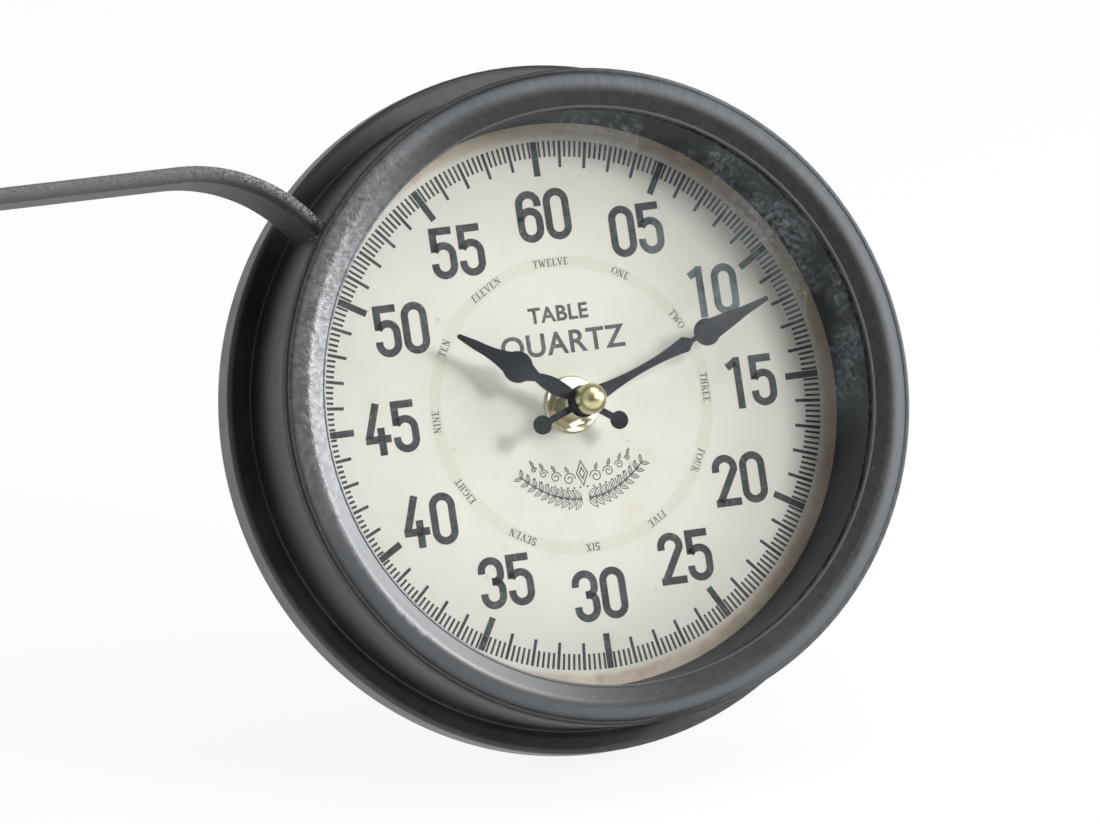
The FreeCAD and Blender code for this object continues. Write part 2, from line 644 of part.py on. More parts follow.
def make_front(name, side):
    """Glass, the ring that holds it off the dial, the printed card, its plate and the seat behind."""
    glass = new_body(name + "_glass")
    disc(glass, glass_radius, lip_under, glass_thickness)
    place(glass, side)

    ring = new_body(name + "_spacer_ring")
    revolve(ring, [
        (ring_foot, 0), (ring_foot + wall, 0), (lip_radius + wall, glass_back), (lip_radius, glass_back)])
    place(ring, side)

    bore_hole = bushing_radius + loose_gap
    card = new_body(name + "_dial_card")
    disc(card, dial_radius, 0, card_thickness, bore_hole)
    place(card, side)

    plate = new_body(name + "_dial_plate")
    disc(plate, dial_radius, -card_thickness, plate_thickness, bore_hole)
    place(plate, side)

    seat = new_body(name + "_dial_seat")
    collar = bore - press_gap
    revolve(seat, [
        (bore - seat_width, -plate_back), (collar, -plate_back),
        (collar, -plate_back - seat_length), (collar - wall, -plate_back - seat_length),
        (collar - wall, -plate_back - wall), (bore - seat_width, -plate_back - wall)])
    place(seat, side)


def make_back_cover(name, side):
    """Sheet disc with a window for the movement, holes for its own screws and for the foot's."""
    body = new_body(name + "_back_cover")
    disc(body, rim_radius - cover_inset, -rear_plane, cover_thickness)
    window = new_sketch(body, "XY_Plane", -rear_plane)
    half = window_half
    corners = rounded((half, -half), window_corner, (1, 0), (0, 1))
    corners += rounded((half, half), window_corner, (0, 1), (-1, 0))
    corners += rounded((-half, half), window_corner, (-1, 0), (0, -1))
    corners += rounded((-half, -half), window_corner, (0, -1), (1, 0))
    outline(window, corners)
    pocket(body, window)
    foot_holes = new_sketch(body, "XY_Plane", -rear_plane)
    for drop in (foot_screw_first, foot_screw_second):
        circle(foot_holes, foot_screw_radius + loose_gap, 0, -drop)
    pocket(body, foot_holes)
    holes = new_sketch(body, "XY_Plane", -rear_plane)
    circle(holes, cover_screw_radius + loose_gap, screw_ring * math.sqrt(0.5), screw_ring * math.sqrt(0.5))
    cut = pocket(body, holes)
    repeat_around(body, cut, holes, cover_screw_count)
    place(body, side)

    screws = new_body(name + "_cover_screws")
    tip = wall - rear_plane
    head = cover_head_radius
    crown = -cover_plane - cover_head_height
    sketch, turned = revolve_off_axis(screws, screw_ring, [
        (0, tip), (cover_screw_radius, tip), (cover_screw_radius, -cover_plane), (head, -cover_plane),
        (head, -cover_plane - cover_head_side), (head - head_crown, crown), (0, crown)])
    repeat_around(screws, turned, sketch, cover_screw_count, "V_Axis")
    place(screws, side, spin=45)


def make_movement_shell(name, side):
    """Moulded housing with a wheel space and a cell space, its cover and the gasket in front."""
    inner = module_inner
    shell_back = module_back - module_wall
    housing = new_body(name + "_movement_housing")
    block = new_sketch(housing, "XY_Plane", -module_front)
    rectangle(block, module_half, module_half)
    pad(housing, block, module_depth - module_wall, backward=True)
    spaces = new_sketch(housing, "XY_Plane", -shell_back)
    outline(spaces, [(-inner, -wheel_space), (inner, -wheel_space), (inner, inner), (-inner, inner)])
    outline(spaces, [(-inner, -inner), (inner, -inner), (inner, -battery_shelf), (-inner, -battery_shelf)])
    pocket(housing, spaces, module_depth - module_wall * 2, forward=True)
    posts = new_sketch(housing, "XY_Plane", -module_floor)
    for across in (board_right - post_reach, board_right + post_reach):
        circle(posts, board_post, across, board_up)
    pad(housing, posts, board_front - module_floor, backward=True)
    pivots = new_sketch(housing, "XY_Plane", -module_floor)
    circle(pivots, pivot_radius + running_gap, 0, gear_distance)
    circle(pivots, pivot_radius + running_gap, knob_right, knob_up)
    pocket(housing, pivots, pivot_depth, forward=True)
    collar = new_sketch(housing, "XY_Plane", -module_floor)
    circle(collar, bushing_radius + press_gap)
    pocket(housing, collar, module_wall, forward=True)
    place(housing, side)

    cover = new_body(name + "_movement_cover")
    sheet_face = new_sketch(cover, "XY_Plane", -shell_back)
    half = module_half
    outline(sheet_face, [(-half, -battery_shelf), (half, -battery_shelf), (half, half), (-half, half)])
    pad(cover, sheet_face, module_wall, backward=True)
    bosses = new_sketch(cover, "XY_Plane", -shell_back)
    for across, up in ((0, 0), (0, gear_distance), (knob_right, knob_up)):
        circle(bosses, boss_radius, across, up)
    pad(cover, bosses, shell_back - boss_front)
    bearings = new_sketch(cover, "XY_Plane", -boss_front)
    for up in (0, gear_distance):
        circle(bearings, pivot_radius + running_gap, 0, up)
    pocket(cover, bearings, shell_back - boss_front)
    knob_bearing = new_sketch(cover, "XY_Plane", -boss_front)
    circle(knob_bearing, knob_shaft + running_gap, knob_right, knob_up)
    pocket(cover, knob_bearing, module_back - boss_front)
    place(cover, side)

    gasket = new_body(name + "_gasket")
    face = new_sketch(gasket, "XY_Plane", -plate_back)
    rectangle(face, gasket_side / 2, gasket_side / 2)
    circle(face, bushing_radius + loose_gap)
    pad(gasket, face, gasket_thickness, backward=True)
    place(gasket, side)


def hexagon(sketch, across_flats, turn):
    corner = across_flats / math.sqrt(3)
    angles = [math.radians(turn + 60 * step) for step in range(6)]
    outline(sketch, [(corner * math.cos(angle), corner * math.sin(angle)) for angle in angles])


def make_movement_fixing(name, side):
    """Brass bushing through the dial with its washer and nut."""
    bushing = new_body(name + "_center_bushing")
    tube = hour_tube_radius + running_gap
    revolve(bushing, [
        (tube, -module_floor), (bushing_radius, -module_floor),
        (bushing_radius, bushing_front - bushing_bevel),
        (bushing_radius - bushing_bevel, bushing_front), (tube, bushing_front)])
    place(bushing, side)

    washer = new_body(name + "_dial_washer")
    hole = bushing_radius + loose_gap
    revolve(washer, [
        (hole, 0), (washer_radius, 0), (washer_radius, washer_thickness - washer_bevel),
        (washer_radius - washer_bevel, washer_thickness), (hole, washer_thickness)])
    place(washer, side)

    nut = new_body(name + "_fixing_nut")
    face = new_sketch(nut, "XY_Plane", washer_thickness)
    hexagon(face, nut_width, 10)
    circle(face, bushing_radius + press_gap)
    pad(nut, face, nut_thickness)
    place(nut, side)


def make_wheels(name, side):
    """Motion work: minute arbor, hour wheel on its tube, the wheel between them and the setting knob."""
    pinion_front = pinion_plane - pinion_lap
    pinion_length = wheel_thickness + pinion_lap * 2
    pivot_end = pivot_tip - module_floor
    arbor = new_body(name + "_minute_arbor")
    toothed_wheel(arbor, minute_teeth, pinion_front, pinion_length, 90, False)
    stepped_shaft(arbor, [
        (pivot_radius, -boss_front - pivot_length), (collar_radius, end_play - boss_front),
        (arbor_radius, -pinion_front), (arbor_tip_radius, minute_plane),
        (0, minute_plane + arbor_tip_length)])
    place(arbor, side)

    hour = new_body(name + "_hour_wheel")
    tube_front = hour_plane + hand_thickness + tube_proud
    tube_length = wheel_front + wheel_thickness + tube_front
    toothed_wheel(hour, hour_teeth, wheel_front, wheel_thickness, 90, True)
    tube = new_sketch(hour, "XY_Plane", tube_front)
    circle(tube, hour_tube_radius)
    pad(hour, tube, tube_length, backward=True)
    hole = new_sketch(hour, "XY_Plane", tube_front)
    circle(hole, arbor_radius + running_gap)
    pocket(hour, hole, tube_length)
    place(hour, side)

    motion = new_body(name + "_motion_wheel")
    toothed_wheel(motion, motion_teeth, pinion_plane, wheel_thickness, 90, True)
    leaf_front = wheel_front - pinion_lap
    toothed_wheel(motion, motion_pinion_teeth, leaf_front, pinion_plane - leaf_front, -90, False)
    stepped_shaft(motion, [
        (pivot_radius, -boss_front - pivot_length), (collar_radius, end_play - boss_front),
        (pivot_radius, -pinion_plane), (0, pivot_end)])
    place(motion, side, up=gear_distance)

    knob = new_body(name + "_setting_knob")
    toothed_wheel(knob, minute_teeth, pinion_front, pinion_length, knob_angle, False)
    grip_front = module_back + knob_lift
    stepped_shaft(knob, [
        (knob_radius, -grip_front - knob_thickness), (knob_shaft, -grip_front), (pivot_radius, -pinion_front),
        (0, pivot_end)])
    place(knob, side, right=knob_right, up=knob_up)


def rounded_tip(length):
    """Last quarter round of a hand's blade."""
    slant = hand_tip * math.sqrt(0.5)
    return [(hand_tip, length - hand_tip), (slant, length - hand_tip + slant, "via"), (0, length)]


def tail_and_hub(tail, weight, stem, hub, arm):
    """Right half of a hand, from its tail disc round its hub to where the arm leaves the hub."""
    return [
        (0, -tail - weight), (weight, -tail, "via"), (stem, rise(weight, stem) - tail),
        (stem, -rise(hub, stem)), (hub, 0, "via"), (arm, rise(hub, arm))]


def make_hands(name, side):
    """Spade hands with disc tails, and the ball that holds them."""
    hour = new_body(name + "_hour_hand")
    sketch = new_sketch(hour, "XY_Plane", hour_plane)
    half = tail_and_hub(hour_tail, hour_disc, hour_stem, hour_hub, hour_arm)
    bulb_foot = hour_bulb_place - rise(hour_bulb, hour_shoulder)
    bulb_top = hour_bulb_place + rise(hour_bulb, hour_blade_root)
    blade_foot = hour_length - hour_blade_length
    half += [
        (hour_swell, hour_swell_place, "via"), (hour_neck, hour_neck_place), (hour_shoulder, bulb_foot),
        (hour_bulb, hour_bulb_place, "via"), (hour_blade_root, bulb_top),
        ((hour_blade_root + hour_blade) / 2 - hour_hollow, (bulb_top + blade_foot) / 2, "via"),
        (hour_blade, blade_foot)]
    outline(sketch, mirrored(half + rounded_tip(hour_length)))
    circle(sketch, hour_tube_radius + press_gap)
    pad(hour, sketch, hand_thickness)
    place(hour, side, spin=hour_angle)

    minute = new_body(name + "_minute_hand")
    sketch = new_sketch(minute, "XY_Plane", minute_plane)
    half = tail_and_hub(minute_tail, minute_disc, minute_stem, minute_hub, minute_arm)
    half += [
        (minute_waist, minute_waist_place, "via"), (minute_flare, minute_flare_place),
        (minute_neck, minute_neck_place), (minute_neck, minute_bulb_place - rise(minute_bulb, minute_neck)),
        (minute_bulb, minute_bulb_place, "via"),
        (minute_blade_root, minute_bulb_place + rise(minute_bulb, minute_blade_root)),
        (minute_blade, minute_length - minute_blade_length)]
    outline(sketch, mirrored(half + rounded_tip(minute_length)))
    circle(sketch, arbor_tip_radius + press_gap)
    pad(minute, sketch, hand_thickness)
    place(minute, side, spin=minute_angle)

    cap = new_body(name + "_cap_nut")
    base = minute_plane + hand_thickness
    middle = base + rise(cap_radius, cap_foot)
    hole = arbor_tip_radius + press_gap
    revolve(cap, [
        (hole, base), (cap_foot, base), (cap_radius, middle, "via"), (0, middle + cap_radius),
        (0, base + cap_hole), (hole, base + cap_hole)])
    place(cap, side)


def make_supply(name, side):
    """Cell with its contact springs, the circuit board and the coil that drives the movement."""
    battery = new_body(name + "_battery")
    half = battery_length / 2
    end = battery_radius - battery_bevel
    shoulder = half - button_length
    revolve(battery, [
        (-half, 0), (-half, end), (battery_bevel - half, battery_radius),
        (shoulder - battery_bevel, battery_radius), (shoulder, end), (shoulder, button_radius),
        (half, button_radius), (half, 0)], "H_Axis", "XY_Plane")
    place(battery, side, up=-battery_row, out=-battery_axis)

    contacts = new_body(name + "_battery_contacts")
    plate = module_inner - contact_sheet
    sketch = new_sketch(contacts, "XY_Plane", contact_depth / 2)
    for sign in (-1, 1):
        outline(sketch, [
            (sign * module_inner, -contact_half), (sign * module_inner, contact_half),
            (sign * plate, contact_half), (sign * plate, contact_nose),
            (sign * half, contact_nose), (sign * half, -contact_nose),
            (sign * plate, -contact_nose), (sign * plate, -contact_half)])
    pad(contacts, sketch, contact_depth, backward=True)
    place(contacts, side, up=-battery_row, out=-battery_axis)

    board = new_body(name + "_circuit_board")
    face = new_sketch(board, "XY_Plane", -board_front)
    rectangle(face, board_half_width, board_half_height, board_right, board_up)
    pad(board, face, board_thickness, backward=True)
    chips = new_sketch(board, "XY_Plane", -board_front - board_thickness)
    circle(chips, chip_radius, board_right - chip_offset, board_up)
    rectangle(chips, crystal_half_width, crystal_half_height, board_right + crystal_offset, board_up)
    pad(board, chips, chip_height, backward=True)
    place(board, side)

    coil = new_body(name + "_drive_coil")
    for level in (-coil_length / 2, coil_length / 2 - coil_sheet):
        flange = new_sketch(coil, "XZ_Plane", level)
        rectangle(flange, coil_flange, coil_flange)
        pad(coil, flange, coil_sheet)
    winding = new_sketch(coil, "XZ_Plane", coil_sheet - coil_length / 2)
    circle(winding, coil_flange - coil_margin)
    pad(coil, winding, coil_length - coil_sheet * 2)
    place(coil, side, right=-coil_left, up=coil_up, out=-module_floor - coil_flange)


def make_foot(name, side):
    """Bent flat bar screwed to the back cover, with its lower leg flat on the table."""
    foot = new_body(name + "_foot")
    outer = cover_plane + foot_thickness
    heel = (lean_sine * cover_plane - axis_height) / lean_cosine
    bend = (lean_sine * outer + foot_thickness - axis_height) / lean_cosine
    leg = front_reach - heel * lean_sine - cover_plane * lean_cosine
    toe_up = heel + leg * lean_sine
    toe_out = -cover_plane - leg * lean_cosine
    profile = new_sketch(foot, "YZ_Plane", -foot_width / 2)
    outline(profile, [
        (-foot_top, -cover_plane), (heel, -cover_plane), (toe_up, toe_out),
        (toe_up + foot_thickness * lean_cosine, toe_out + foot_thickness * lean_sine),
        (bend, -outer), (-foot_top, -outer)])
    bar = pad(foot, profile, foot_width)
    doc.recompute()
    round_edges(foot, bar, bar_edges(bar, [(heel, -cover_plane)]), foot_thickness + foot_bend)
    round_edges(foot, foot.Tip, bar_edges(foot.Tip, [(bend, -outer)]), foot_bend)
    holes = new_sketch(foot, "XY_Plane", -cover_plane)
    for drop in (foot_screw_first, foot_screw_second):
        circle(holes, foot_screw_radius + loose_gap, 0, -drop)
    pocket(foot, holes, foot_thickness)
    place(foot, side)

    screws = new_body(name + "_foot_screws")
    head = foot_head_radius
    tip = foot_nut_height + foot_screw_end - rear_plane
    crown = -outer - foot_head_height
    turned = revolve(screws, [
        (0, tip), (foot_screw_radius, tip), (foot_screw_radius, -outer), (head, -outer),
        (head, -outer - foot_head_side), (head - head_crown, crown), (0, crown)])
    repeat_along(screws, turned, turned.Profile[0], "N_Axis", foot_screw_pitch)
    place(screws, side, up=-foot_screw_first)

    nuts = new_body(name + "_foot_nuts")
    face = new_sketch(nuts, "XY_Plane", -rear_plane)
    hexagon(face, foot_nut_width, 10)
    circle(face, foot_screw_radius + press_gap)
    block = pad(nuts, face, foot_nut_height)
    repeat_along(nuts, block, face, "V_Axis", foot_screw_pitch, True)
    place(nuts, side, up=-foot_screw_first)


def make_bridge():
    """Flat bar with rounded edges, bent over from neck to neck and cut to sit on both drums."""
    bridge = new_body("bridge")
    front = bezel_plane - bezel_skirt - bar_setback
    bend_up = arch_height - arch_radius
    inner = arch_radius - bar_thickness
    flat = arch_flat / 2
    half_sweep = arch_sweep / 2

    def around(radius, angle):
        return flat + radius * sine(angle), bend_up + radius * cosine(angle)

    right = [
        (flat, arch_height), around(arch_radius, half_sweep) + ("via",), around(arch_radius, arch_sweep),
        around(inner, arch_sweep), around(inner, half_sweep) + ("via",), (flat, bend_up + inner)]
    left = [(-corner[0],) + tuple(corner[1:]) for corner in reversed(right)]
    sketch = new_sketch(bridge, "XY_Plane", front)
    outline(sketch, right + left)
    bar = pad(bridge, sketch, bar_width, backward=True)
    doc.recompute()
    round_edges(bridge, bar, long_edges(bar, (front, front - bar_width)), bar_edge)
    necks = new_sketch(bridge, "XY_Plane", front)
    for sign in (-1, 1):
        circle(necks, neck_radius + press_gap, sign * head_pitch / 2, 0)
    pocket(bridge, necks, bar_width)
    place(bridge, 0)


for name, side in (("left", -1), ("right", 1)):
    make_case(name, side)
    make_bezel(name, side)
    make_front(name, side)
    make_back_cover(name, side)
    make_movement_shell(name, side)
    make_movement_fixing(name, side)
    make_wheels(name, side)
    make_hands(name, side)
    make_supply(name, side)
    make_foot(name, side)
make_bridge()
doc.recompute()

troubles = []
for item in doc.Objects:
    if "Invalid" in item.State or "Error" in item.State:
        troubles.append(item.Name)
for node in nodes:
    if node.Shape.isNull() or not node.Shape.isValid():
        troubles.append(node.Label + " shape")
if troubles:
    raise RuntimeError("not built: " + ", ".join(troubles))

os.makedirs("parts", exist_ok=True)
for node in nodes:
    node.Shape.exportStep("parts/" + node.Label + ".step")
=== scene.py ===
import json
import math
import bpy
from mathutils import Matrix, Vector
from mathutils.geometry import intersect_sphere_sphere_2d


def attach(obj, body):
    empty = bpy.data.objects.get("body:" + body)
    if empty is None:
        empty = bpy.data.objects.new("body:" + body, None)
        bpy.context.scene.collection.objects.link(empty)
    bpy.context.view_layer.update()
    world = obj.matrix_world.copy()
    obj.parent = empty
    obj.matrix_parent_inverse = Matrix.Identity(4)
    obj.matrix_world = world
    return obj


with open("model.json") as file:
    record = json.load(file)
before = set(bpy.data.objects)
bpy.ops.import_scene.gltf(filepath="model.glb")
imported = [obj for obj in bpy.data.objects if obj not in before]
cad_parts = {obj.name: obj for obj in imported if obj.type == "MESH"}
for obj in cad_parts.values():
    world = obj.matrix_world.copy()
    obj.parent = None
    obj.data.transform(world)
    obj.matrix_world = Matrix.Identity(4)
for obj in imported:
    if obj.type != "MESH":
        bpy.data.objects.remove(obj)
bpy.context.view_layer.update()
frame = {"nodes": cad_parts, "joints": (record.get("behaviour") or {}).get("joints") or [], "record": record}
nodes = frame["nodes"]
joints = {joint["name"]: joint for joint in frame["joints"]}
MM = 0.001


class Head:
    """One clock head's own frame: right, up the dial and out of the dial, from its minute joint."""

    def __init__(self, name):
        turn = joints[name + "_minute_turn"]
        self.name = name
        self.centre = Vector(turn["pos_m"])
        self.out = -Vector(turn["axis"]).normalized()
        self.right = Vector((1, 0, 0))
        self.up = self.out.cross(self.right)
        turned = Matrix((self.right, self.up, self.out)).transposed().to_4x4()
        self.matrix = Matrix.Translation(self.centre) @ turned


heads = [Head("left"), Head("right")]
photographed = heads[1]

# The bar's bends and the neck that they end on, in millimetres in a head's frame
HALF_STRAIGHT = 24.5
BEND_ACROSS = photographed.centre.x / MM - HALF_STRAIGHT
BEND_UP = 27.5
BEND_INNER = 40.4
BEND_OUTER = 44.6
NECK = 84.2


class Wire:
    """A shader socket that can be used in sums."""

    def __init__(self, paint, socket):
        self.paint = paint
        self.socket = socket

    def math(self, operation, *others):
        values = {index + 1: other for index, other in enumerate(others)}
        values[0] = self
        return self.paint.node("ShaderNodeMath", {"operation": operation}, values)

    def vector_math(self, operation, other, output="Vector"):
        settings = {"operation": operation}
        return self.paint.node("ShaderNodeVectorMath", settings, {0: self, 1: other}, output)

    def __add__(self, other):
        return self.math("ADD", other)

    def __radd__(self, other):
        return self.math("ADD", other)

    def __sub__(self, other):
        return self.math("SUBTRACT", other)

    def __rsub__(self, other):
        return (self * -1) + other

    def __mul__(self, other):
        return self.math("MULTIPLY", other)

    def __rmul__(self, other):
        return self.math("MULTIPLY", other)

    def __truediv__(self, other):
        return self.math("DIVIDE", other)

    def step(self, low, high):
        """Rise smoothly from 0 to 1 as the wire goes from low to high."""
        settings = {"interpolation_type": "SMOOTHSTEP"}
        values = {"Value": self, "From Min": low, "From Max": high}
        return self.paint.node("ShaderNodeMapRange", settings, values)

    def between(self, low, high):
        """Spread a 0 to 1 wire over low to high."""
        return self * (high - low) + low


class Nodes:
    """A shader tree that nodes are added to."""

    def __init__(self, tree):
        self.tree = tree

    def node(self, kind, settings=None, values=None, output=0):
        """Add a node, set it, set or link its sockets, and give one of its outputs."""
        made = self.tree.nodes.new(kind)
        for key, value in (settings or {}).items():
            setattr(made, key, value)
        for key, value in (values or {}).items():
            if isinstance(value, Wire):
                self.tree.links.new(value.socket, made.inputs[key])
            else:
                made.inputs[key].default_value = value
        return Wire(self, made.outputs[output])


class Paint(Nodes):
    """One material with the head's own coordinates at hand."""

    def __init__(self, name):
        self.name = name
        self.material = bpy.data.materials.new(name)
        self.material.use_nodes = True
        super().__init__(self.material.node_tree)
        self.shader = self.tree.nodes["Principled BSDF"]

    def place(self):
        """Give the place on the piece, in metres."""
        return self.node("ShaderNodeTexCoord", output="Object")

    def head_place(self):
        """Give right, up and out in metres in the nearer head's frame; both heads share it."""
        spot = self.place()
        across = self.node("ShaderNodeSeparateXYZ", None, {0: spot}, "X")
        right = across - across.math("SIGN") * photographed.centre.x
        offset = spot.vector_math("SUBTRACT", photographed.centre)
        up = offset.vector_math("DOT_PRODUCT", photographed.up, "Value")
        out = offset.vector_math("DOT_PRODUCT", photographed.out, "Value")
        return right, up, out

    def noise(self, scale, detail=3.0, roughness=0.55, spot=None):
        values = {"Scale": scale, "Detail": detail, "Roughness": roughness}
        values["Vector"] = spot or self.place()
        return self.node("ShaderNodeTexNoise", None, values, "Fac")

    def cells(self, scale):
        values = {"Scale": scale, "Vector": self.place()}
        return self.node("ShaderNodeTexVoronoi", None, values, "Distance")

    def mix(self, factor, first, second):
        """Blend two colours; 6 and 7 are the colour sockets of the node."""
        settings = {"data_type": "RGBA"}
        return self.node("ShaderNodeMix", settings, {0: factor, 6: first, 7: second}, 2)

    def set(self, **values):
        """Set or link sockets of the main shader, named with _ for spaces."""
        for key, value in values.items():
            socket = self.shader.inputs[key.replace("_", " ")]
            if isinstance(value, Wire):
                self.tree.links.new(value.socket, socket)
            else:
                socket.default_value = value

    def blend_shader(self, factor, other):
        """Mix another shader over the main one and send the result to the surface."""
        main = Wire(self, self.shader.outputs["BSDF"])
        mixed = self.node("ShaderNodeMixShader", None, {0: factor, 1: main, 2: other}, "Shader")
        self.tree.links.new(mixed.socket, self.tree.nodes["Material Output"].inputs["Surface"])

    def bump(self, height, depth):
        """Raise the surface by a 0 to 1 wire, by a depth in millimetres."""
        values = {"Height": height, "Distance": depth * MM}
        normal = self.node("ShaderNodeBump", None, values, "Normal")
        self.tree.links.new(normal.socket, self.shader.inputs["Normal"])


def grey(level, warm=0.0):
    """Grey that leans to red where warm is above 0 and to blue where it is below."""
    return (level * (1 + warm), level, level * (1 - warm), 1)


def distance(across, up):
    """Wire of the distance from the place where both wires are 0."""
    return (across * across + up * up).math("SQRT")


def rubbed_through(paint, tone):
    """Show bare metal in a dark coat, in small specks that lie in patches."""
    specks = paint.noise(1200, 2, 0.5).step(0.72, 0.77) * paint.noise(60, 3).step(0.55, 0.65)
    return paint.mix(specks * 0.35, tone, grey(0.25, 0.05))


def coated_paint(name, dark, light, rough, grain, depth):
    """Dark coat: cloudy dust, fine grain and a few rubbed specks."""
    paint = Paint(name)
    dust_and_sheen = paint.noise(38, 5, 0.65)
    tone = paint.mix(dust_and_sheen.step(0.35, 0.7), dark, light)
    paint.set(Base_Color=rubbed_through(paint, tone))
    paint.set(Roughness=paint.noise(120, 4).between(rough - 0.05, rough + 0.08))
    paint.bump(paint.noise(grain, 2, 0.5), depth)
    return paint


def drum_coat():
    """Satin black coat of drum, cover and feet, paler on the lower side of the wide rim, and paler on the
    lower flange as painted light from below.
    """
    paint = Paint("drum_paint")
    right, up, _ = paint.head_place()
    radius = distance(right, up)
    cloud = paint.noise(38, 5, 0.65).step(0.35, 0.7)
    # The lower side of the wide rim is paler
    rim_side = radius.step(89.2 * MM, 90.2 * MM) * up.step(75 * MM, 10 * MM)
    # Painted light: the lower flange is paler, as if lit from the floor below
    lower_flange = radius.step(85.6 * MM, 87 * MM) * up.step(0.0, -70 * MM)
    paler_below = rim_side.math("MAXIMUM", lower_flange)
    coat = paint.mix(cloud, grey(0.017, -0.08), grey(0.034, -0.08))
    # Paler coat on the lower rim side and, as painted light from below, on the lower flange
    lighter = paint.mix(paler_below, coat, paint.mix(cloud, grey(0.055, -0.06), grey(0.075, -0.06)))
    paint.set(Base_Color=rubbed_through(paint, lighter))
    paint.set(Metallic=0.2)
    paint.set(Roughness=paint.noise(120, 4).between(0.31, 0.44))
    paint.bump(paint.noise(420, 2, 0.5), 0.05)
    return paint


def hammered_paint():
    """Blue-black coat of bezel and bar.

    The slope outside is spun-streaked and painted paler as a sheen, over its whole width on the right. The
    bevel at the left and the slope at the upper left are painted pale and metallic as a highlight, and the
    upper left is hammered.
    """
    paint = Paint("bezel_paint")
    right, up, out = paint.head_place()
    radius = distance(right, up)
    slope = radius.step(79.2 * MM, 81.4 * MM)
    # Painted sheen: the outer slope is paler, out to the bead on the right side
    whole_slope = radius.step(84.4 * MM, 82.4 * MM).math("MAXIMUM", right.step(0.0, 40 * MM))
    lighter = slope * whole_slope
    lip = radius.step(75.5 * MM, 74.9 * MM)
    upper_left = (up * 0.4 - right).step(54 * MM, 86 * MM)
    # Painted highlight: the bevel at the left is pale and metallic, and so is the slope at the upper left
    bevel_sheen = (right + up * 0.25).step(-5 * MM, -72 * MM) * (1 - slope)
    wear_and_sheen = bevel_sheen + upper_left * lighter
    mottle = paint.noise(520, 3, 0.6)
    round_scale = 75
    spun = {0: right / radius * round_scale, 1: up / radius * round_scale, 2: radius * 60}
    spun_spot = paint.node("ShaderNodeCombineXYZ", None, spun)
    streaks = (paint.noise(1.0, 3, 0.6, spun_spot) - 0.5) * up.step(10 * MM, 70 * MM) + 0.5
    specks = paint.noise(1400, 2, 0.5).step(0.74, 0.77) * paint.noise(90, 2).step(0.5, 0.6)
    coat = paint.mix(mottle.step(0.35, 0.7), grey(0.010, -0.12), grey(0.020, -0.12))
    # Paler spun-streaked tone of the slope, a painted sheen
    dust_and_sheen = paint.mix(streaks.step(0.25, 0.75), grey(0.082, -0.10), grey(0.114, -0.10))
    # Pale tone of the painted highlight, mottled at the upper left
    sheen_tone = paint.mix(mottle.step(0.3, 0.75) * upper_left, grey(0.19, -0.03), grey(0.33, -0.03))
    dark = paint.mix(lighter, paint.mix(lip * 0.8, coat, grey(0.06)), dust_and_sheen)
    tone = paint.mix(specks * 0.6, paint.mix(wear_and_sheen, dark, sheen_tone), grey(0.45))
    behind_bezel = out.step(18.7 * MM, 17.7 * MM)
    paint.set(Base_Color=paint.mix(behind_bezel, tone, bar_tone(paint, right, up, out)))
    paint.set(Metallic=wear_and_sheen * 0.85)
    paint.set(Roughness=wear_and_sheen.between(0.52, 0.42) + paint.noise(140, 4) * 0.08)
    paint.bump(mottle * upper_left.between(0.12, 1.0), 0.36)
    return paint


def bar_tone(paint, right, up, out):
    """Colour of the bar: pitted, paler away from the head, rubbed in specks along the top of its front edge,
    where the specks are painted paler near the head as a highlight.
    """
    past_bend = (right.math("ABSOLUTE") - BEND_ACROSS * MM).math("MINIMUM", 0.0)
    from_bend = distance(past_bend, up - BEND_UP * MM)
    near_top = from_bend.step((BEND_OUTER - 3) * MM, (BEND_OUTER - 1) * MM)
    rubbed_top = near_top * out.step(15.2 * MM, 16.4 * MM)
    specks = paint.noise(1500, 4, 0.7).step(0.36, 0.66)
    pits = paint.noise(900, 3, 0.6).step(0.64, 0.69)
    away = right.math("ABSOLUTE").step(76 * MM, 100 * MM)
    whole = paint.mix(away, grey(0.016, -0.05), grey(0.085, -0.03))
    coat = paint.mix(pits * 0.8, whole, grey(0.004))
    # Specks on the top edge, painted paler near the head as a highlight
    speckle_and_highlight_tone = paint.mix(away, grey(0.42, -0.02), grey(0.2, -0.02))
    return paint.mix(rubbed_top * specks * 0.75, coat, speckle_and_highlight_tone)


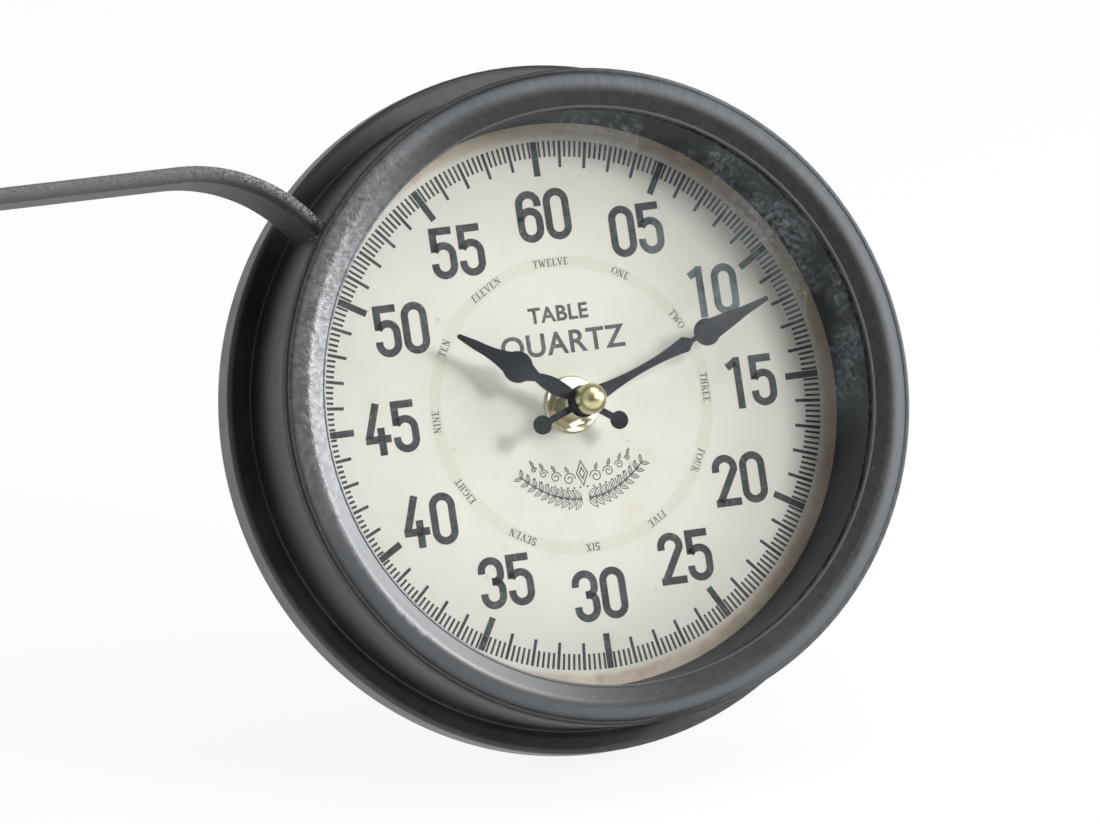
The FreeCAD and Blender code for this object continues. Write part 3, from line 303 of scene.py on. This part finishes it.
def dial_paper():
    """Ivory card: pale ring behind the hour words, peach margin beyond the minute track, stains, and painted
    shadow of the bezel at the right and top with painted shade by the wall on the right.
    """
    paint = Paint("dial_paper")
    right, up, _ = paint.head_place()
    radius = distance(right, up)
    cloud = paint.noise(24, 4, 0.6).step(0.35, 0.7)
    ivory = paint.mix(cloud, (0.715, 0.71, 0.645, 1), (0.68, 0.685, 0.605, 1))
    ring = (radius - 37.4 * MM).math("ABSOLUTE").step(1.9 * MM, 1.4 * MM)
    ringed = paint.mix(ring * 0.5, ivory, (0.60, 0.61, 0.50, 1))
    edge = radius + (paint.noise(160, 4, 0.6) - 0.5) * (2.4 * MM)
    margin = edge.step(69.6 * MM, 71.6 * MM)
    blotches = paint.noise(260, 4).step(0.4, 0.75)
    peach = paint.mix(blotches, (0.60, 0.53, 0.43, 1), (0.44, 0.34, 0.26, 1))
    edged = paint.mix(margin * 0.9, ringed, peach)
    # Painted shadow of the bezel at the right and top, and painted shade near the wall on the right
    side_shadow = (right * 0.9 + up * 0.35).step(52 * MM, 72 * MM) * 0.4
    top_shadow = up.step(62 * MM, 74 * MM) * 0.45
    wall_shade = edge.step(64 * MM, 74 * MM) * right.step(-15 * MM, 45 * MM) * 0.8
    painted_shadow = side_shadow.math("MAXIMUM", top_shadow).math("MAXIMUM", wall_shade)
    # Dark tan of the painted shadow
    shadowed_card = paint.mix(painted_shadow, edged, (0.27, 0.21, 0.155, 1))
    stains = paint.noise(58, 6, 0.7).step(0.5, 0.72) * 0.3
    stained = paint.mix(stains, shadowed_card, (0.62, 0.57, 0.46, 1))
    spots = paint.noise(330, 3, 0.5).step(0.68, 0.75) * paint.noise(44, 2).step(0.45, 0.6)
    paint.set(Base_Color=paint.mix(spots * 0.45, stained, (0.48, 0.41, 0.31, 1)))
    paint.set(Roughness=paint.noise(90, 3).between(0.55, 0.75))
    paint.bump(paint.noise(1500, 3), 0.04)
    return paint


def dial_ink(name, dark, light, upper_right_tone):
    """Dark green-grey print, rubbed thin in specks and lighter and bluer towards the upper right."""
    paint = Paint(name)
    right, up = [paint.node("ShaderNodeSeparateXYZ", None, {0: paint.place()}, axis) for axis in "XY"]
    toward_upper_right = distance(right - 46 * MM, up - 30 * MM).step(30 * MM, 8 * MM)
    wear_and_sheen = paint.noise(950, 4, 0.75).step(0.52, 0.7) * paint.noise(110, 3).step(0.38, 0.6)
    fresh = paint.mix(paint.noise(240, 3).step(0.35, 0.7), dark, light)
    tone = paint.mix(toward_upper_right * paint.noise(130, 3).step(0.2, 0.6), fresh, upper_right_tone)
    paint.set(Base_Color=paint.mix(wear_and_sheen * 0.5, tone, (0.36, 0.37, 0.35, 1)))
    paint.set(Roughness=paint.noise(200, 3).between(0.5, 0.7))
    paint.bump(paint.noise(1500, 3), 0.03)
    return paint.material


def window_glass():
    """Clear glass with an opaque grey band at its edge, painted in for the shaded gap under the bezel's lip,
    and dust towards the upper right.
    """
    paint = Paint("clear_glass")
    right, up, _ = paint.head_place()
    radius = distance(right, up)
    corner = (right + up * 0.9).step(40 * MM, 78 * MM)
    smears = paint.noise(800, 6, 0.7).step(0.4, 0.72) * paint.noise(70, 4, 0.6).step(0.38, 0.62)
    dust_and_sheen = corner * smears * radius.step(46 * MM, 66 * MM)
    specks = paint.noise(1300, 2, 0.5).step(0.74, 0.79)
    film = paint.noise(34, 5, 0.65).step(0.45, 0.8)
    # Opaque grey band at the edge: painted stand-in for the shaded gap under the bezel's lip
    edge_band = radius.step(74.7 * MM, 74.9 * MM)
    cloud = paint.noise(300, 3).step(0.35, 0.65)
    lighter = paint.mix(cloud, (0.30, 0.37, 0.43, 1), (0.42, 0.46, 0.45, 1))
    paint.set(Base_Color=paint.mix(edge_band, lighter, (0.30, 0.31, 0.33, 1)))
    paint.set(Roughness=film.between(0.05, 0.2))
    haze = film.between(0.003, 0.01) + dust_and_sheen * 0.2 + specks * (dust_and_sheen * 0.4 + 0.04)
    paint.set(Alpha=haze.math("MAXIMUM", edge_band * 0.95))
    return paint


def polished_brass():
    """Brass, pale on the washer by the dial and deeper on the ball."""
    paint = Paint("polished_brass")
    _, _, out = paint.head_place()
    tarnish = paint.noise(420, 4, 0.6)
    dull = tarnish.step(0.35, 0.75)
    pale = paint.mix(dull, (0.93, 0.89, 0.70, 1), (0.84, 0.77, 0.55, 1))
    deep = paint.mix(dull, (0.74, 0.69, 0.42, 1), (0.60, 0.53, 0.29, 1))
    paint.set(Base_Color=paint.mix(out.step(6 * MM, 9 * MM), pale, deep))
    paint.set(Metallic=1.0)
    paint.set(Roughness=tarnish.between(0.24, 0.4))
    paint.bump(paint.noise(2600, 2), 0.015)
    return paint


def plated_steel():
    """Zinc plating with a faint spangle."""
    paint = Paint("zinc_steel")
    spangle = paint.cells(700)
    paint.set(Base_Color=paint.mix(spangle.step(0.2, 0.8), grey(0.60), grey(0.45, 0.02)))
    paint.set(Metallic=1.0)
    paint.set(Roughness=paint.noise(300, 3).between(0.25, 0.45))
    paint.bump(paint.noise(1800, 2), 0.02)
    return paint


def moulded_plastic(name, dark, light, rough):
    """Moulded plastic, rubber or resin with a faint cloud and a fine grain."""
    paint = Paint(name)
    paint.set(Base_Color=paint.mix(paint.noise(60, 4).step(0.35, 0.7), dark, light))
    paint.set(Roughness=paint.noise(150, 3).between(rough - 0.08, rough + 0.1))
    paint.bump(paint.noise(3000, 2, 0.5), 0.03)
    return paint


def fibre_board():
    """Raw hardboard with short fibres."""
    paint = Paint("hardboard")
    fibre = paint.noise(900, 5, 0.7)
    paint.set(Base_Color=paint.mix(fibre.step(0.3, 0.7), (0.22, 0.14, 0.08, 1), (0.36, 0.25, 0.15, 1)))
    paint.set(Roughness=fibre.between(0.7, 0.9))
    paint.bump(fibre, 0.1)
    return paint


def wound_copper():
    """Lacquered copper wire in close turns."""
    paint = Paint("copper_wire")
    wire = 0.25 * MM
    _, up, _ = paint.head_place()
    turns = (up * (2 * math.pi / wire)).math("SINE")
    paint.set(Base_Color=paint.mix(turns.step(-1, 1), (0.40, 0.15, 0.06, 1), (0.72, 0.33, 0.14, 1)))
    paint.set(Metallic=0.9)
    paint.set(Roughness=paint.noise(400, 2).between(0.3, 0.42))
    paint.bump(turns, 0.06)
    return paint


def cell_sleeve():
    """Plain sleeve of a dry cell: dark body, pale band at the button end."""
    paint = Paint("cell_wrap")
    right, _, _ = paint.head_place()
    band = right.step(12 * MM, 12.2 * MM)
    cloud = paint.noise(50, 3).step(0.4, 0.7)
    tone = paint.mix(cloud, (0.05, 0.055, 0.07, 1), (0.075, 0.08, 0.1, 1))
    paint.set(Base_Color=paint.mix(band, tone, (0.62, 0.46, 0.2, 1)))
    paint.set(Roughness=paint.noise(120, 2).between(0.22, 0.36))
    paint.bump(paint.noise(600, 2), 0.02)
    return paint


paints = [
    drum_coat(),
    coated_paint(
        "inner_wall_paint", (0.02, 0.025, 0.031, 1), (0.034, 0.041, 0.049, 1),
        rough=0.6, grain=300, depth=0.06),
    coated_paint(
        "hand_paint", (0.010, 0.014, 0.018, 1), (0.018, 0.024, 0.029, 1),
        rough=0.16, grain=900, depth=0.004),
    hammered_paint(),
    window_glass(),
    dial_paper(),
    fibre_board(),
    polished_brass(),
    plated_steel(),
    moulded_plastic("black_plastic", grey(0.014), grey(0.026), 0.5),
    moulded_plastic("wheel_plastic", grey(0.58, 0.03), grey(0.72, 0.02), 0.35),
    moulded_plastic("black_rubber", grey(0.012), grey(0.02), 0.8),
    moulded_plastic("board_resin", (0.01, 0.07, 0.03, 1), (0.02, 0.12, 0.05, 1), 0.4),
    wound_copper(),
    cell_sleeve(),
]
materials = {paint.name: paint.material for paint in paints}
bold_ink = dial_ink(
    "bold_ink", dark=(0.024, 0.03, 0.031, 1), light=(0.055, 0.064, 0.064, 1), upper_right_tone=(0.15, 0.19, 0.2, 1))
word_ink = dial_ink(
    "word_ink", dark=(0.07, 0.075, 0.076, 1), light=(0.115, 0.12, 0.12, 1), upper_right_tone=(0.20, 0.23, 0.24, 1))
fine_ink = dial_ink(
    "fine_ink", dark=(0.10, 0.10, 0.095, 1), light=(0.17, 0.17, 0.16, 1), upper_right_tone=(0.30, 0.32, 0.32, 1))

for entry in frame["record"]["subparts"]:
    mesh = nodes[entry["node"]].data
    mesh.materials.clear()
    mesh.materials.append(materials[entry["material_slot"]])


def add_object(name, data):
    """Add an object to the scene."""
    made = bpy.data.objects.new(name, data)
    bpy.context.scene.collection.objects.link(made)
    return made


def fix_on_head(head, name, data, place=Matrix()):
    """Add a piece that stands still on a head, at a place in the head's frame."""
    made = add_object(name, data)
    made.matrix_world = head.matrix @ place
    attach(made, "frame")


class Print:
    """Flat printed shapes that lie just proud of a dial, gathered into one mesh in millimetres."""

    def __init__(self):
        self.points = []
        self.faces = []

    def polygon(self, corners):
        first = len(self.points)
        self.points += [tuple(corner) for corner in corners]
        self.faces.append(list(range(first, first + len(corners))))

    def ribbon(self, path, width, closed=False):
        """Lay a stroke of even width along a path."""
        count = len(path)
        first = len(self.points)
        for index, (x, y) in enumerate(path):
            before = path[index - 1] if closed or index else path[0]
            after = path[(index + 1) % count] if closed or index < count - 1 else path[-1]
            arriving = Vector((x - before[0], y - before[1]))
            leaving = Vector((after[0] - x, after[1] - y))
            # An end of an open path has only one neighbour
            arriving = arriving if arriving.length > 1e-9 else leaving
            leaving = leaving if leaving.length > 1e-9 else arriving
            along = (arriving.normalized() + leaving.normalized()).normalized()
            # A sharp corner's point reaches out by 2.5 half widths at most
            reach = width / 2 / max(0.4, along.dot(leaving.normalized()))
            self.points.append((x - along.y * reach, y + along.x * reach))
            self.points.append((x + along.y * reach, y - along.x * reach))
        for index in range(count if closed else count - 1):
            here = first + index * 2
            there = first + (index + 1) % count * 2
            self.faces.append([here, here + 1, there + 1, there])

    def add_to(self, head, name, level, ink):
        """Make the mesh on a head's dial, at a level over the paper."""
        mesh = bpy.data.meshes.new(name)
        mesh.from_pydata([(x * MM, y * MM, level * MM) for x, y in self.points], [], self.faces)
        mesh.materials.append(ink)
        fix_on_head(head, name, mesh)


def arc(across, up, radius, start, end, steps=14):
    """Points along an arc, in degrees from the right, counter-clockwise."""
    turns = [math.radians(start + (end - start) * step / steps) for step in range(steps + 1)]
    return [(across + radius * math.cos(turn), up + radius * math.sin(turn)) for turn in turns]


# Width of the numbers' strokes, in millimetres
STROKE = 2.0


def digit_strokes(digit):
    """Centre lines of one condensed digit from 0 to 6, in millimetres, and whether each closes."""
    wide = 2.55
    tall = 5.8
    bowl = tall - wide
    waist = 0.3
    knee = 1.9
    if digit == "0":
        return [(arc(0, bowl, wide, 0, 180) + arc(0, -bowl, wide, 180, 360), True)]
    if digit == "1":
        upright = [(0.9, tall + STROKE / 2), (0.9, -tall - STROKE / 2)]
        flag = [(-1.9, tall - 1.5), (0.4, tall - 0.2)]
        return [(upright, False), (flag, False)]
    if digit == "2":
        hook = [(-wide, bowl - 0.9)] + arc(0, bowl, wide, 180, -12) + [(-wide + 0.3, -tall + 0.4)]
        base = [(-wide - STROKE / 2, -tall), (wide + STROKE / 2, -tall)]
        return [(hook, False), (base, False)]
    if digit == "3":
        upper = [(-wide, bowl - 0.7)] + arc(0, bowl, wide, 180, 0)
        upper += arc(wide - knee, waist + knee, knee, 0, -80, 6)
        lower = arc(wide - knee, waist - knee, knee, 80, 0, 6)
        lower += arc(0, -bowl, wide, 0, -180) + [(-wide, -bowl + 0.7)]
        return [(upper + [(0, waist)], False), ([(0, waist)] + lower, False)]
    if digit == "4":
        slope = [(0.5, tall + STROKE / 2), (-wide + 0.1, -2.2)]
        bar = [(-wide - STROKE / 2 + 0.1, -2.6), (wide + STROKE / 2, -2.6)]
        upright = [(1.0, 0.4), (1.0, -tall - STROKE / 2)]
        return [(slope, False), (bar, False), (upright, False)]
    if digit == "5":
        flag = [(wide + 0.3, tall), (-wide + 0.2, tall), (-wide + 0.2, 0.4)]
        belly = arc(0, -0.6, wide, 155, 0) + arc(0, -bowl, wide, 0, -180) + [(-wide, -bowl + 0.7)]
        return [(flag, False), (belly, False)]
    top = [(wide, bowl - 0.7)] + arc(0, bowl, wide, 0, 180) + arc(0, -bowl, wide, 180, 360)
    return [(top + arc(0, -1.1, wide, 0, 180), False)]


def polar(radius, minutes):
    """Place on the dial of a minute mark."""
    turn = math.radians(minutes * 6)
    return radius * math.sin(turn), radius * math.cos(turn)


def add_track(sheet):
    """Minute track: five fine divisions to a minute, longer at minutes, bold at five minutes."""
    outer = 69.2
    for mark in range(300):
        minutes = mark / 5
        length, width = 4.2, 0.62
        if mark % 5 == 0:
            length, width = 7.0, 0.82
        if mark % 25 == 0:
            length, width = 9.1, 1.75
        sheet.ribbon([polar(outer - length, minutes), polar(outer, minutes)], width)


def add_minute_numbers(sheet):
    """Numbers from 05 to 60 inside the track, all upright."""
    radius = 49.9
    pitch = 7.7
    for minutes in range(5, 65, 5):
        across, up = polar(radius, minutes)
        for place, digit in enumerate(f"{minutes:02d}"):
            middle = across + (place - 0.5) * pitch
            for path, closed in digit_strokes(digit):
                sheet.ribbon([(x + middle, y + up) for x, y in path], STROKE, closed)


def add_leaf(sheet, across, up, length, turn):
    """Outline of a pointed leaf with its vein, from a place and in a direction in degrees."""
    along = Vector((math.cos(math.radians(turn)), math.sin(math.radians(turn))))
    over = Vector((-along.y, along.x))
    root = Vector((across, up))
    edge = [(0.05, 0), (0.3, 0.2), (0.65, 0.18), (1, 0), (0.65, -0.18), (0.3, -0.2)]
    sheet.ribbon([root + along * length * run + over * length * rise for run, rise in edge], 0.24, True)
    sheet.ribbon([root, root + along * length * 0.7], 0.22)


def add_coil(sheet, across, up, scroll_size, side):
    """Tendril that winds in by one turn and a half."""
    steps = 31
    coil = []
    for step in range(steps + 1):
        turn = step / steps * math.pi * 3
        reach = scroll_size * (1 - 0.8 * step / steps)
        coil.append((side * (across - reach * math.cos(turn)), up + reach * math.sin(turn)))
    sheet.ribbon(coil, 0.3)


# Tendrils over the swag: size, distance from the middle, height over the lowest leaf
TENDRILS = ((1.7, 3.7, 5.4), (1.5, 7.3, 6.3), (1.2, 10.5, 7.6), (0.8, 13.0, 9.0))


def add_flourish(sheet):
    """Plain printer's ornament under the hands: a swag of leaves, tendrils and a lozenge."""
    below = -24.6
    leaves = 9
    swag_reach = 15.6
    swag_rise = 7.2
    for side in (-1, 1):
        twig = []
        for index in range(leaves + 1):
            along = index / leaves
            across = side * (1.0 + swag_reach * along)
            up = below + swag_rise * along ** 2
            twig.append((across, up))
            rise = math.degrees(math.atan2(2 * swag_rise * along, swag_reach))
            for spread in (-52, 48):
                turn = rise + spread if side > 0 else 180 - rise - spread
                add_leaf(sheet, across, up, 3.4 - 1.2 * along, turn)
            sheet.polygon(arc(across, up + 3.0 - along, 0.3, 0, 320, 8))
        sheet.ribbon(twig, 0.4)
        for scroll_size, across, lift in TENDRILS:
            add_coil(sheet, across, below + lift, scroll_size, side)
            add_leaf(sheet, side * across, below + lift + scroll_size, 1.8, 90 - side * 25)
    for reach_across, reach_up in ((1.5, 3.2), (0.7, 1.5)):
        lozenge = [(-reach_across, 0), (0, reach_up), (reach_across, 0), (0, -reach_up)]
        sheet.ribbon([(x, below + 6.6 + y) for x, y in lozenge], 0.34, True)


HOUR_WORDS = (
    "ONE", "TWO", "THREE", "FOUR", "FIVE", "SIX", "SEVEN", "EIGHT", "NINE", "TEN", "ELEVEN", "TWELVE")


def thin(*path):
    """Hairline of a letter: its width in millimetres and its path."""
    return 0.16, path


def heavy(*path):
    """Main stroke of a letter: its width in millimetres and its path."""
    return 0.34, path


def serif(across, up):
    """Short hairline across the end of a stroke."""
    return thin((across - 0.16, up), (across + 0.16, up))


def stem(across):
    """Upright of a letter with a serif at each end."""
    return [heavy((across, 0), (across, 1)), serif(across, 0), serif(across, 1)]


def oval(start, end):
    """Part of a round letter's outline, in degrees."""
    return [(0.42 + 0.36 * x, 0.5 + 0.5 * y) for x, y in arc(0, 0, 1, start, end)]


ARMS = [thin((0.2, 1), (0.6, 1), (0.6, 0.78)), thin((0.2, 0.52), (0.48, 0.52))]
BASE = [thin((0.2, 0), (0.64, 0), (0.64, 0.24))]

# Width and strokes of the capitals that the hour words need, for letters 1 high
CAPITALS = {
    "E": (0.72, stem(0.2) + ARMS + BASE),
    "F": (0.66, stem(0.2) + ARMS),
    "G": (0.86, [
        thin(*oval(40, 320)), heavy(*oval(140, 220)),
        heavy((0.7, 0.08), (0.7, 0.42)), serif(0.7, 0.42)]),
    "H": (0.84, stem(0.2) + stem(0.64) + [thin((0.2, 0.52), (0.64, 0.52))]),
    "I": (0.42, stem(0.21)),
    "L": (0.68, stem(0.2) + BASE),
    "N": (0.88, [
        thin((0.18, 0), (0.18, 1)), thin((0.7, 0), (0.7, 1)), heavy((0.18, 1), (0.7, 0)),
        serif(0.18, 0), serif(0.12, 1), serif(0.7, 1)]),
    "O": (0.84, [thin(*oval(0, 360)), heavy(*oval(140, 220)), heavy(*oval(-40, 40))]),
    "R": (0.8, stem(0.2) + [
        thin((0.2, 1), *arc(0.4, 0.76, 0.24, 90, -90), (0.2, 0.52)),
        heavy((0.42, 0.52), (0.7, 0)), serif(0.7, 0)]),
    "S": (0.62, [heavy(*arc(0.3, 0.74, 0.24, 20, 250), *arc(0.3, 0.26, 0.26, 70, -160))]),
    "T": (0.72, [
        heavy((0.36, 0), (0.36, 1)), serif(0.36, 0),
        thin((0.04, 0.76), (0.04, 1), (0.68, 1), (0.68, 0.76))]),
    "U": (0.84, [
        heavy((0.2, 1), (0.2, 0.3)), thin(*arc(0.42, 0.24, 0.22, 180, 360), (0.64, 1)),
        serif(0.2, 1), serif(0.64, 1)]),
    "V": (0.82, [
        heavy((0.14, 1), (0.42, 0)), thin((0.42, 0), (0.68, 1)),
        serif(0.14, 1), serif(0.68, 1)]),
    "W": (1.12, [
        heavy((0.12, 1), (0.36, 0)), thin((0.36, 0), (0.56, 0.9)), heavy((0.56, 0.9), (0.78, 0)),
        thin((0.78, 0), (1.0, 1)), serif(0.12, 1), serif(1.0, 1)]),
    "X": (0.8, [
        heavy((0.14, 1), (0.66, 0)), thin((0.64, 1), (0.14, 0)),
        serif(0.14, 1), serif(0.64, 1), serif(0.14, 0), serif(0.66, 0)]),
}


def add_hour_words(sheet):
    """Hour names round the inner ring, each on a straight line and standing outward."""
    ring = 36.5
    height = 1.85
    gap = 0.1
    for index, word in enumerate(HOUR_WORDS):
        turn = Matrix.Rotation(-math.radians(30 * (index + 1)), 2)
        start = (gap - sum(CAPITALS[letter][0] + gap for letter in word)) / 2
        for letter in word:
            width, strokes = CAPITALS[letter]
            for thickness, path in strokes:
                upright = [Vector((height * (start + x), ring + height * y)) for x, y in path]
                sheet.ribbon([turn @ spot for spot in upright], thickness)
            start += width + gap


# Plain words above the hands: the word, its letters' size and its height over the dial's middle
PLAIN_WORDS = (("TABLE", 5.6, 22.2), ("QUARTZ", 8.2, 13.6))


def add_plain_words(head, level):
    """Print the plain words in capitals, each centred on the dial."""
    boldness = 0.16
    for index, (word, letter_size, up) in enumerate(PLAIN_WORDS):
        name = f"{head.name}_dial_word_{index + 1}"
        curve = bpy.data.curves.new(name, "FONT")
        curve.body = word
        curve.size = letter_size * MM
        curve.offset = boldness * MM
        curve.align_x = "CENTER"
        curve.space_character = 1.06
        curve.materials.append(word_ink)
        place = Matrix.Translation((0, up * MM, level * MM))
        fix_on_head(head, name, curve, place)


def add_dial_print(head):
    """Track, numbers, ornament and words of one dial, just over its paper."""
    level = 0.03
    sheet = Print()
    add_track(sheet)
    add_minute_numbers(sheet)
    sheet.add_to(head, head.name + "_dial_print", level, bold_ink)
    ornament = Print()
    add_flourish(ornament)
    add_hour_words(ornament)
    ornament.add_to(head, head.name + "_ornament", level, fine_ink)
    add_plain_words(head, level)


for head in heads:
    add_dial_print(head)


def add_seam(head, name, path, thickness, slot):
    """Lumpy bead along a path of places in the head's frame, in millimetres."""
    mesh = bpy.data.meshes.new(name)
    sides = 8
    last = len(path) - 1
    points = []
    for index, place in enumerate(path):
        along = (path[min(index + 1, last)] - path[max(index - 1, 0)]).normalized()
        radial = Vector((place.x, place.y, 0)).normalized()
        over = along.cross(radial).normalized()
        lump = 1 + 0.35 * math.sin(index * 2.3) + 0.2 * math.sin(index * 5.1 + 1)
        taper = min(1, 0.35 + 0.4 * min(index, last - index))
        reach = thickness * lump * taper
        for corner in range(sides):
            turn = 2 * math.pi * corner / sides
            points.append((place + (radial * math.cos(turn) + over * math.sin(turn)) * reach) * MM)
    faces = [list(range(sides)), list(range(last * sides, (last + 1) * sides))]
    for index in range(last):
        for corner in range(sides):
            here = index * sides + corner
            after = index * sides + (corner + 1) % sides
            faces.append([here, after, after + sides, here + sides])
    mesh.from_pydata(points, [], faces)
    mesh.shade_smooth()
    mesh.materials.append(materials[slot])
    fix_on_head(head, name, mesh)


# Beads on each face of the bar: name, slot, start ahead of its front, pitch, number of places, thickness
BEADS = (("weld", "bezel_paint", 0.3, 0.8, 10, 0.6), ("weld_drop", "zinc_steel", 0.9, 0.4, 4, 0.55))

# Marks in the paint by the bar, a black bead standing as painted shade for the gap under the bezel's edge
# and its cracked paint, and a bare chip: name, slot, distance ahead of the bar's front, thickness
PAINT_MARKS = (("shadow_gap_crack", "black_rubber", 0.5, 0.5), ("chip", "zinc_steel", 1.2, 0.2))


def add_welds(head, side):
    """Weld beads, a black bead as painted shade in the gap along the bezel's edge with cracked paint, and a
    bare chip, where the bar meets the neck; side is 1 for the right head.
    """
    bar = nodes["bridge"]
    places = [bar.matrix_world @ corner.co - head.centre for corner in bar.data.vertices]
    front = max(head.out.dot(place) for place in places) / MM
    bend = Vector((-side * BEND_ACROSS, BEND_UP))
    axis = Vector((0, 0))
    for face, radius in (("lower", BEND_INNER), ("upper", BEND_OUTER)):
        crossings = intersect_sphere_sphere_2d(bend, radius, axis, NECK)
        across, up = max(crossings, key=lambda spot: spot.y)
        for name, slot, ahead, pitch, count, thickness in BEADS:
            path = [Vector((across, up, front + ahead - pitch * step)) for step in range(count)]
            add_seam(head, f"{head.name}_{face}_{name}", path, thickness, slot)
    start = math.atan2(up, across)
    stride = math.radians(0.62)
    strides = 17
    # The first mark is a black bead: painted shade of the gap under the bezel's edge, with cracked paint
    for name, slot, ahead, thickness in PAINT_MARKS:
        path = []
        for step in range(strides + 1):
            turn = start - side * stride * step
            wander = 0.25 * math.sin(step * 1.9) + 0.08 * step
            path.append(Vector((NECK * math.cos(turn), NECK * math.sin(turn), front + ahead + wander)))
        add_seam(head, f"{head.name}_paint_{name}", path, thickness, slot)


add_welds(heads[0], -1)
add_welds(heads[1], 1)


def add_floor():
    """Wide white floor: most of the white that is seen is its own, so the shadow on it stays faint."""
    reach = 6.0
    own_share = 0.9
    mesh = bpy.data.meshes.new("floor")
    corners = [(-reach, -reach, 0), (reach, -reach, 0), (reach, reach, 0), (-reach, reach, 0)]
    mesh.from_pydata(corners, [], [(0, 1, 2, 3)])
    floor = add_object("floor", mesh)
    paint = Paint("pale_floor")
    paint.set(Base_Color=paint.mix(paint.noise(3, 3), grey(0.92), grey(0.95)))
    paint.set(Roughness=0.8)
    rays = ("Is Camera Ray", "Is Glossy Ray", "Is Transmission Ray")
    camera, glossy, through = [paint.node("ShaderNodeLightPath", None, None, ray) for ray in rays]
    glow = paint.node("ShaderNodeEmission", None, {"Color": (1, 1, 1, 1), "Strength": 1.0})
    paint.blend_shader((camera + glossy + through) * own_share, glow)
    mesh.materials.append(paint.material)


def add_light(name, direction, reach, size, power):
    """Soft rectangular lamp in a direction from the photographed head, facing it."""
    lamp = bpy.data.lights.new(name, "AREA")
    lamp.shape = "RECTANGLE"
    lamp.size = size[0]
    lamp.size_y = size[1]
    lamp.energy = power
    made = add_object(name, lamp)
    away = Vector(direction).normalized()
    made.location = photographed.centre + away * reach
    made.rotation_euler = (-away).to_track_quat("-Z", "Y").to_euler()


def add_surround():
    """White room, dim only straight in front of the dials, where the camera stands."""
    world = bpy.data.worlds.new("studio")
    bpy.context.scene.world = world
    world.use_nodes = True
    room = Nodes(world.node_tree)
    direction = room.node("ShaderNodeTexCoord", output="Generated")
    ahead = Vector((0.03, -0.97, 0.24))
    dim = 0.07
    bright = 0.55
    aside = direction.vector_math("DOT_PRODUCT", ahead, "Value").step(0.9, 0.6)
    backdrop = world.node_tree.nodes["Background"]
    backdrop.inputs["Color"].default_value = (1, 1, 1, 1)
    room.tree.links.new(aside.between(dim, bright).socket, backdrop.inputs["Strength"])


def add_camera(head):
    """Long lens on the photographed head: level camera to its left and above."""
    photo_width = 1100
    photo_height = 824
    focal = 8000
    reach = 2.08
    azimuth = math.radians(-20.96)
    elevation = math.radians(19.9)
    dial_pixel = (571.7, 404.6)
    away = Vector((
        math.sin(azimuth) * math.cos(elevation),
        -math.cos(azimuth) * math.cos(elevation),
        math.sin(elevation)))
    turned = (-away).to_track_quat("-Z", "Y")
    pixel = reach / focal
    shift = Vector((dial_pixel[0] - photo_width / 2, photo_height / 2 - dial_pixel[1], 0)) * pixel
    target = head.centre - turned @ shift
    lens = bpy.data.cameras.new("camera")
    lens.sensor_width = 36
    lens.lens = focal * lens.sensor_width / photo_width
    lens.clip_end = 20
    made = add_object("camera", lens)
    made.location = target + away * reach
    made.rotation_euler = turned.to_euler()
    bpy.context.scene.camera = made


add_floor()
add_surround()
add_light("key", (0.50, -0.67, 0.55), 1.6, (0.4, 0.4), 13)
add_light("right_window", (0.90, -0.36, 0.24), 1.5, (0.9, 0.8), 11)
add_light("top_card", (0.336, -0.127, 0.933), 1.2, (0.8, 0.8), 5)
add_camera(photographed)
bpy.context.scene.view_settings.view_transform = "Standard"
